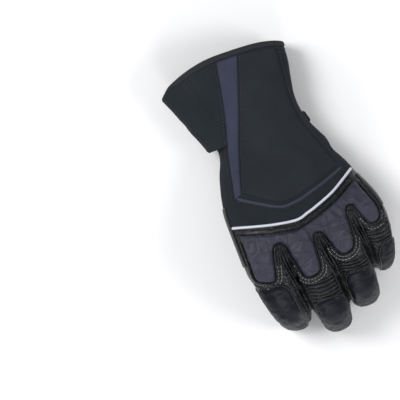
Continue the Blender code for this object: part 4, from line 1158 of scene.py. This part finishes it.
def finger_seam(name, degrees):
    """Line from the crotch down one side of a finger, round its tip and back up the other side."""
    near, far = math.radians(degrees), math.radians(180 - degrees)
    sides = []
    for angle in (near, far):
        line = [finger_section(name, t, np.array((angle,)))[0] for t in np.linspace(0.04, 1, 50)]
        line += [finger_section(name, 1.0, np.array((angle,)), dome=d)[0] for d in (0.25, 0.5, 0.7, 0.85, 0.95)]
        sides.append(np.array(line))
    return evened(np.concatenate((sides[0], sides[1][::-1])), 0.001, 6)


SEAM_TURNS = {"upper": 38, "lower": -28}
rows = []
for name in FINGERS:
    for height, degrees in SEAM_TURNS.items():
        points, ways = snapped(finger_seam(name, degrees), 0.0001)
        roll(f"{name}_seam_{height}", points, ways, 0.0008, 0.0007, black_leather, 8)
        if height == "upper":
            side = np.cross(np.gradient(points, axis=0), ways)
            side /= np.linalg.norm(side, axis=1)[:, None]
            rows.append(snapped(points - side * 0.0017, 0.0001))
stitches("finger_stitches", rows, dark_thread, thick=0.00028)
# gathers along the outer side of the index finger
gathers = np.array([finger_section("index", t, np.array((math.radians(-6),)))[0] for t in np.linspace(0.28, 1, 60)])
stitches("index_gathers", [snapped(evened(gathers, 0.001, 2))], black_leather, length=0.0062, gap=0.0016,
         thick=0.0014, lift=0.0003)

# flex pleats: rolls of leather across the three outer fingers between the lobes and the tips
PLEAT_RUNS = {"middle": (0.385, 0.585), "ring": (0.385, 0.585), "little": (0.10, 0.40)}
PLEATS = 6
for name, (first, last) in PLEAT_RUNS.items():
    for number, t in enumerate(np.linspace(first, last, PLEATS)):
        arc = finger_section(name, t, np.radians(np.linspace(38, 142, 40)))
        arc[:, 1] += 0.0012 * np.sin(np.linspace(0, math.pi, 40)) + 0.0003 * math.sin(5 * number)
        points, ways = snapped(evened(arc, 0.0008, 2), 0.0002)
        roll(f"{name}_pleat_{number + 1}", points, ways, 0.00100, 0.0011, black_leather, 10)

rows = []
for line, distances in ((trim_path, (0.0024,)), (band_path, (0.0034, -0.0034)), (stripe_little, (-0.0022,)),
                        (stripe_thumb, (0.0022,)), (panel_little[4:-4], (-0.0024,))):
    rows += [on_shell(line + sideways(line) * distance, lift=0.0009) for distance in distances]
stitches("back_stitches", rows, dark_thread, thick=0.00026)

around = np.linspace(0, 2 * math.pi, 260)
rows = [snapped(body_section(station, around), 0.0001) for station in (-92.6, -88.2)]
stitches("hem_stitches", rows, dark_thread, thick=0.00026)


# Palm grip.
# Small domes of clear black silicone printed on the palm and the undersides of the fingers.
silicone = mottled("silicone_grip", 0.18, 0.002, (0.012, 0.013, 0.014), (0.030, 0.032, 0.034), gloss=(0.14, 0.14),
                   Coat_Weight=0.4)
DOME_RADIUS = 0.0015
DOME_PITCH = 0.0065
ROW_PITCH = 0.0056
solid, faces = [], []
angle = circle(8)
for row, y in enumerate(np.arange(-0.030, 0.125, ROW_PITCH)):
    for x in np.arange(-0.072, 0.056, DOME_PITCH) + (row % 2) * DOME_PITCH / 2:
        found, way = shell_tree.ray_cast(Vector((x, y, -0.1)), UP)[:2]
        # only where the palm faces down and is clear of the table
        if found is None or way.z > -0.78 or found.z < 0.004:
            continue
        across = way.orthogonal().normalized()
        over = way.cross(across)
        first = len(solid)
        for size, high in ((1.15, -0.0003), (1.0, 0.00025), (0.6, 0.00055)):
            for t in angle:
                solid.append(found + (across * math.cos(t) + over * math.sin(t)) * DOME_RADIUS * size + way * high)
        faces += tube_faces(3, 8, first) + end_faces(3, 8, first)
grip = mesh_piece("palm_grip", solid, faces, silicone)
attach(grip, "root")


# Rim binding.
# A knitted tape folded over the edge of the cuff and sewn through.
tape = mottled("binding_tape", 0.85, 0.0009, (0.010, 0.011, 0.012), (0.034, 0.037, 0.042), 3, 0.7, 0.0003,
               Specular_IOR_Level=0.2)
# the tape's section: station and how far out of the cuff
TAPE_SECTION = (
    (-100.6, 0.0001), (-99.6, 0.0006), (-97.6, 0.0009), (-96.0, 0.0008), (-95.2, 0.0003), (-95.2, -0.0004),
    (-95.2, -0.0026), (-95.2, -0.0034), (-96.4, -0.0038), (-98.4, -0.0037), (-99.9, -0.0033), (-100.9, -0.0022),
)
around = circle(200)
rings = [body_section(s, around, out) for s, out in TAPE_SECTION]
faces = tube_faces(len(rings), len(around)) + ring_shut(len(rings), len(around))
binding = mesh_piece("rim_tape", np.concatenate(rings), faces, tape)
outwards(binding)
apply(binding, "SUBSURF", levels=1, render_levels=1)
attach(binding, "root")
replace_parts(binding, "cuff_binding")


# Wrist tab.
# Wide hook-and-loop tab that folds round the thumb side of the cuff and lies flat under it.
# Cloth-faced foam with a stitched edge.
TAB_BASE = 0.0006
ACROSS = 40


def wrapped(name, rows, turns, thickness, lift, material, floor=None, sewn=0.0):
    """Band round the cuff or hand: rows of share, first and last station, between two angles.

    It rises out of the cuff over its sewn share.
    """
    shares = [row[0] for row in rows]
    grid_top, grid_low = [], []
    for share in np.linspace(0, 1, 6 * len(rows)):
        first, last = (np.interp(share, shares, [row[k] for row in rows]) for k in (1, 2))
        angle = math.radians(turns[0] + (turns[1] - turns[0]) * share)
        top, low = [], []
        for v in np.linspace(0, 1, ACROSS):
            s = first + (last - first) * v
            edge = min(v, 1 - v) * abs(last - first) / 100 * CUFF_LENGTH
            end = min(share, 1 - share) * 0.10
            full = math.sqrt(1 - (1 - min(1.0, min(edge, end) / 0.0014)) ** 2)
            rise = float(ramp(share, 0, sewn)) if sewn else 1.0
            for line, out in ((top, TAB_BASE + thickness * (0.5 + 0.5 * full)),
                              (low, TAB_BASE + thickness * 0.5 * (1 - full))):
                out = (out + lift(angle, s)) * rise - (0.0 if line is top else TAB_BASE) * (1 - rise)
                p = body_section(s, np.array([angle]), out)[0]
                if floor is not None:
                    p[2] = max(p[2], floor if line is top else floor + thickness * full)
                line.append(p)
        grid_top.append(top)
        grid_low.append(low)
    grid_top, grid_low = np.array(grid_top), np.array(grid_low)
    n, m = grid_top.shape[:2]
    solid = np.concatenate((grid_top.reshape(-1, 3), grid_low.reshape(-1, 3)))
    faces = []
    for i in range(n - 1):
        for k in range(m - 1):
            a, b, c, d = i * m + k, i * m + k + 1, (i + 1) * m + k + 1, (i + 1) * m + k
            faces.append((a, b, c, d))
            faces.append((a + n * m, d + n * m, c + n * m, b + n * m))
    edge = list(range(m)) + [i * m + m - 1 for i in range(1, n)]
    edge += [(n - 1) * m + k for k in range(m - 2, -1, -1)] + [i * m for i in range(n - 2, 0, -1)]
    faces += [(a, b, b + n * m, a + n * m) for a, b in zip(edge, edge[1:] + edge[:1])]
    made = mesh_piece(name, solid, faces, material)
    outwards(made)
    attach(made, "root")
    return made


# share of the way round, and the tab's first and last station there
STRAP_ROWS = (
    (0.00, -96, -14), (0.12, -97, -13), (0.24, -98, -12.5), (0.34, -97.5, -12.5), (0.44, -94, -13),
    (0.54, -88, -15), (0.64, -80, -18), (0.74, -76, -22), (0.84, -71, -27), (0.92, -65, -33),
    (0.97, -59, -39), (1.00, -52, -46),
)


def strap_lift(angle, station):
    """The strap lies close on the cuff at the rim and stands off it towards the wrist."""
    return 0.0058 * min(1.0, max(0.18, (station + 62) / 48)) * max(0.0, math.cos(angle)) ** 3


tab_cloth, wire, sockets, place = finish("tab_cloth", 0.8, Specular_IOR_Level=0.2)
knit = cloud(wire, place, 0.0008, 3, 0.6)
patchy = cloud(wire, place, 0.02, 2)
feed(wire, sockets, (knit * 0.6 + patchy * 0.5 - 0.05).clamped().tint((0.020, 0.025, 0.034), (0.070, 0.083, 0.105)),
     0.7 + 0.2 * knit, ((knit, 0.00025),))
strap = wrapped("wrist_tab", STRAP_ROWS, (58, -118), 0.0026, strap_lift, tab_cloth, 0.0, 0.24)
strap.data.materials.append(softshell)
# the part that shows beside the cuff is faced with the cuff's own cloth
face_heights = np.array([face.center[2] for face in strap.data.polygons])
strap.data.polygons.foreach_set("material_index", (face_heights > 0.020).astype(np.int32))
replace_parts(strap, "wrist_strap")


# Side strips.
# Smooth glossy leather down both sides of the hand, where the back meets the palm.
gloss_leather = leather("gloss_leather", (0.0035, 0.004, 0.005), (0.012, 0.013, 0.016), 0.36, 0.0012, 0.00008)
SIDE_STRIPS = (
    ("little_side_leather", 49, (162, 216), "little_side_strip"),
    ("thumb_side_leather", 41, (18, -36), "thumb_side_strip"),
)
for name, start, turns, node in SIDE_STRIPS:
    rows = [(k / 6, start, 92) for k in range(7)]
    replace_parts(wrapped(name, rows, turns, 0.0008, lambda angle, s: -0.0005, gloss_leather), node)


# Clip.
# Moulded plastic clip, held by a folded webbing tab under the wrist. The clip keeps its own solid
# and only gets a finish.
plastic = mottled("moulded_plastic", 0.4, 0.0006, (0.010, 0.010, 0.011), (0.022, 0.022, 0.024), depth=0.00004,
                  gloss=(0.34, 0.15))
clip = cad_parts["glove_clip"]
clip.data.materials.clear()
clip.data.materials.append(plastic)
webbing, wire, sockets, place = finish("webbing", 0.85)
strand = wire.node("ShaderNodeTexWave", {"wave_type": "BANDS", "bands_direction": "DIAGONAL"},
                   {"Vector": place, "Scale": 1 / 0.004, "Distortion": 0.4})
feed(wire, sockets, strand.tint((0.008, 0.009, 0.010), (0.026, 0.028, 0.031)), None, ((strand, 0.00015),))
webbing_tab = bpy.data.objects.new("clip_webbing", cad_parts["clip_tab"].data.copy())
bpy.context.collection.objects.link(webbing_tab)
webbing_tab.data.materials.clear()
webbing_tab.data.materials.append(webbing)
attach(webbing_tab, "root")
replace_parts(webbing_tab, "clip_tab")
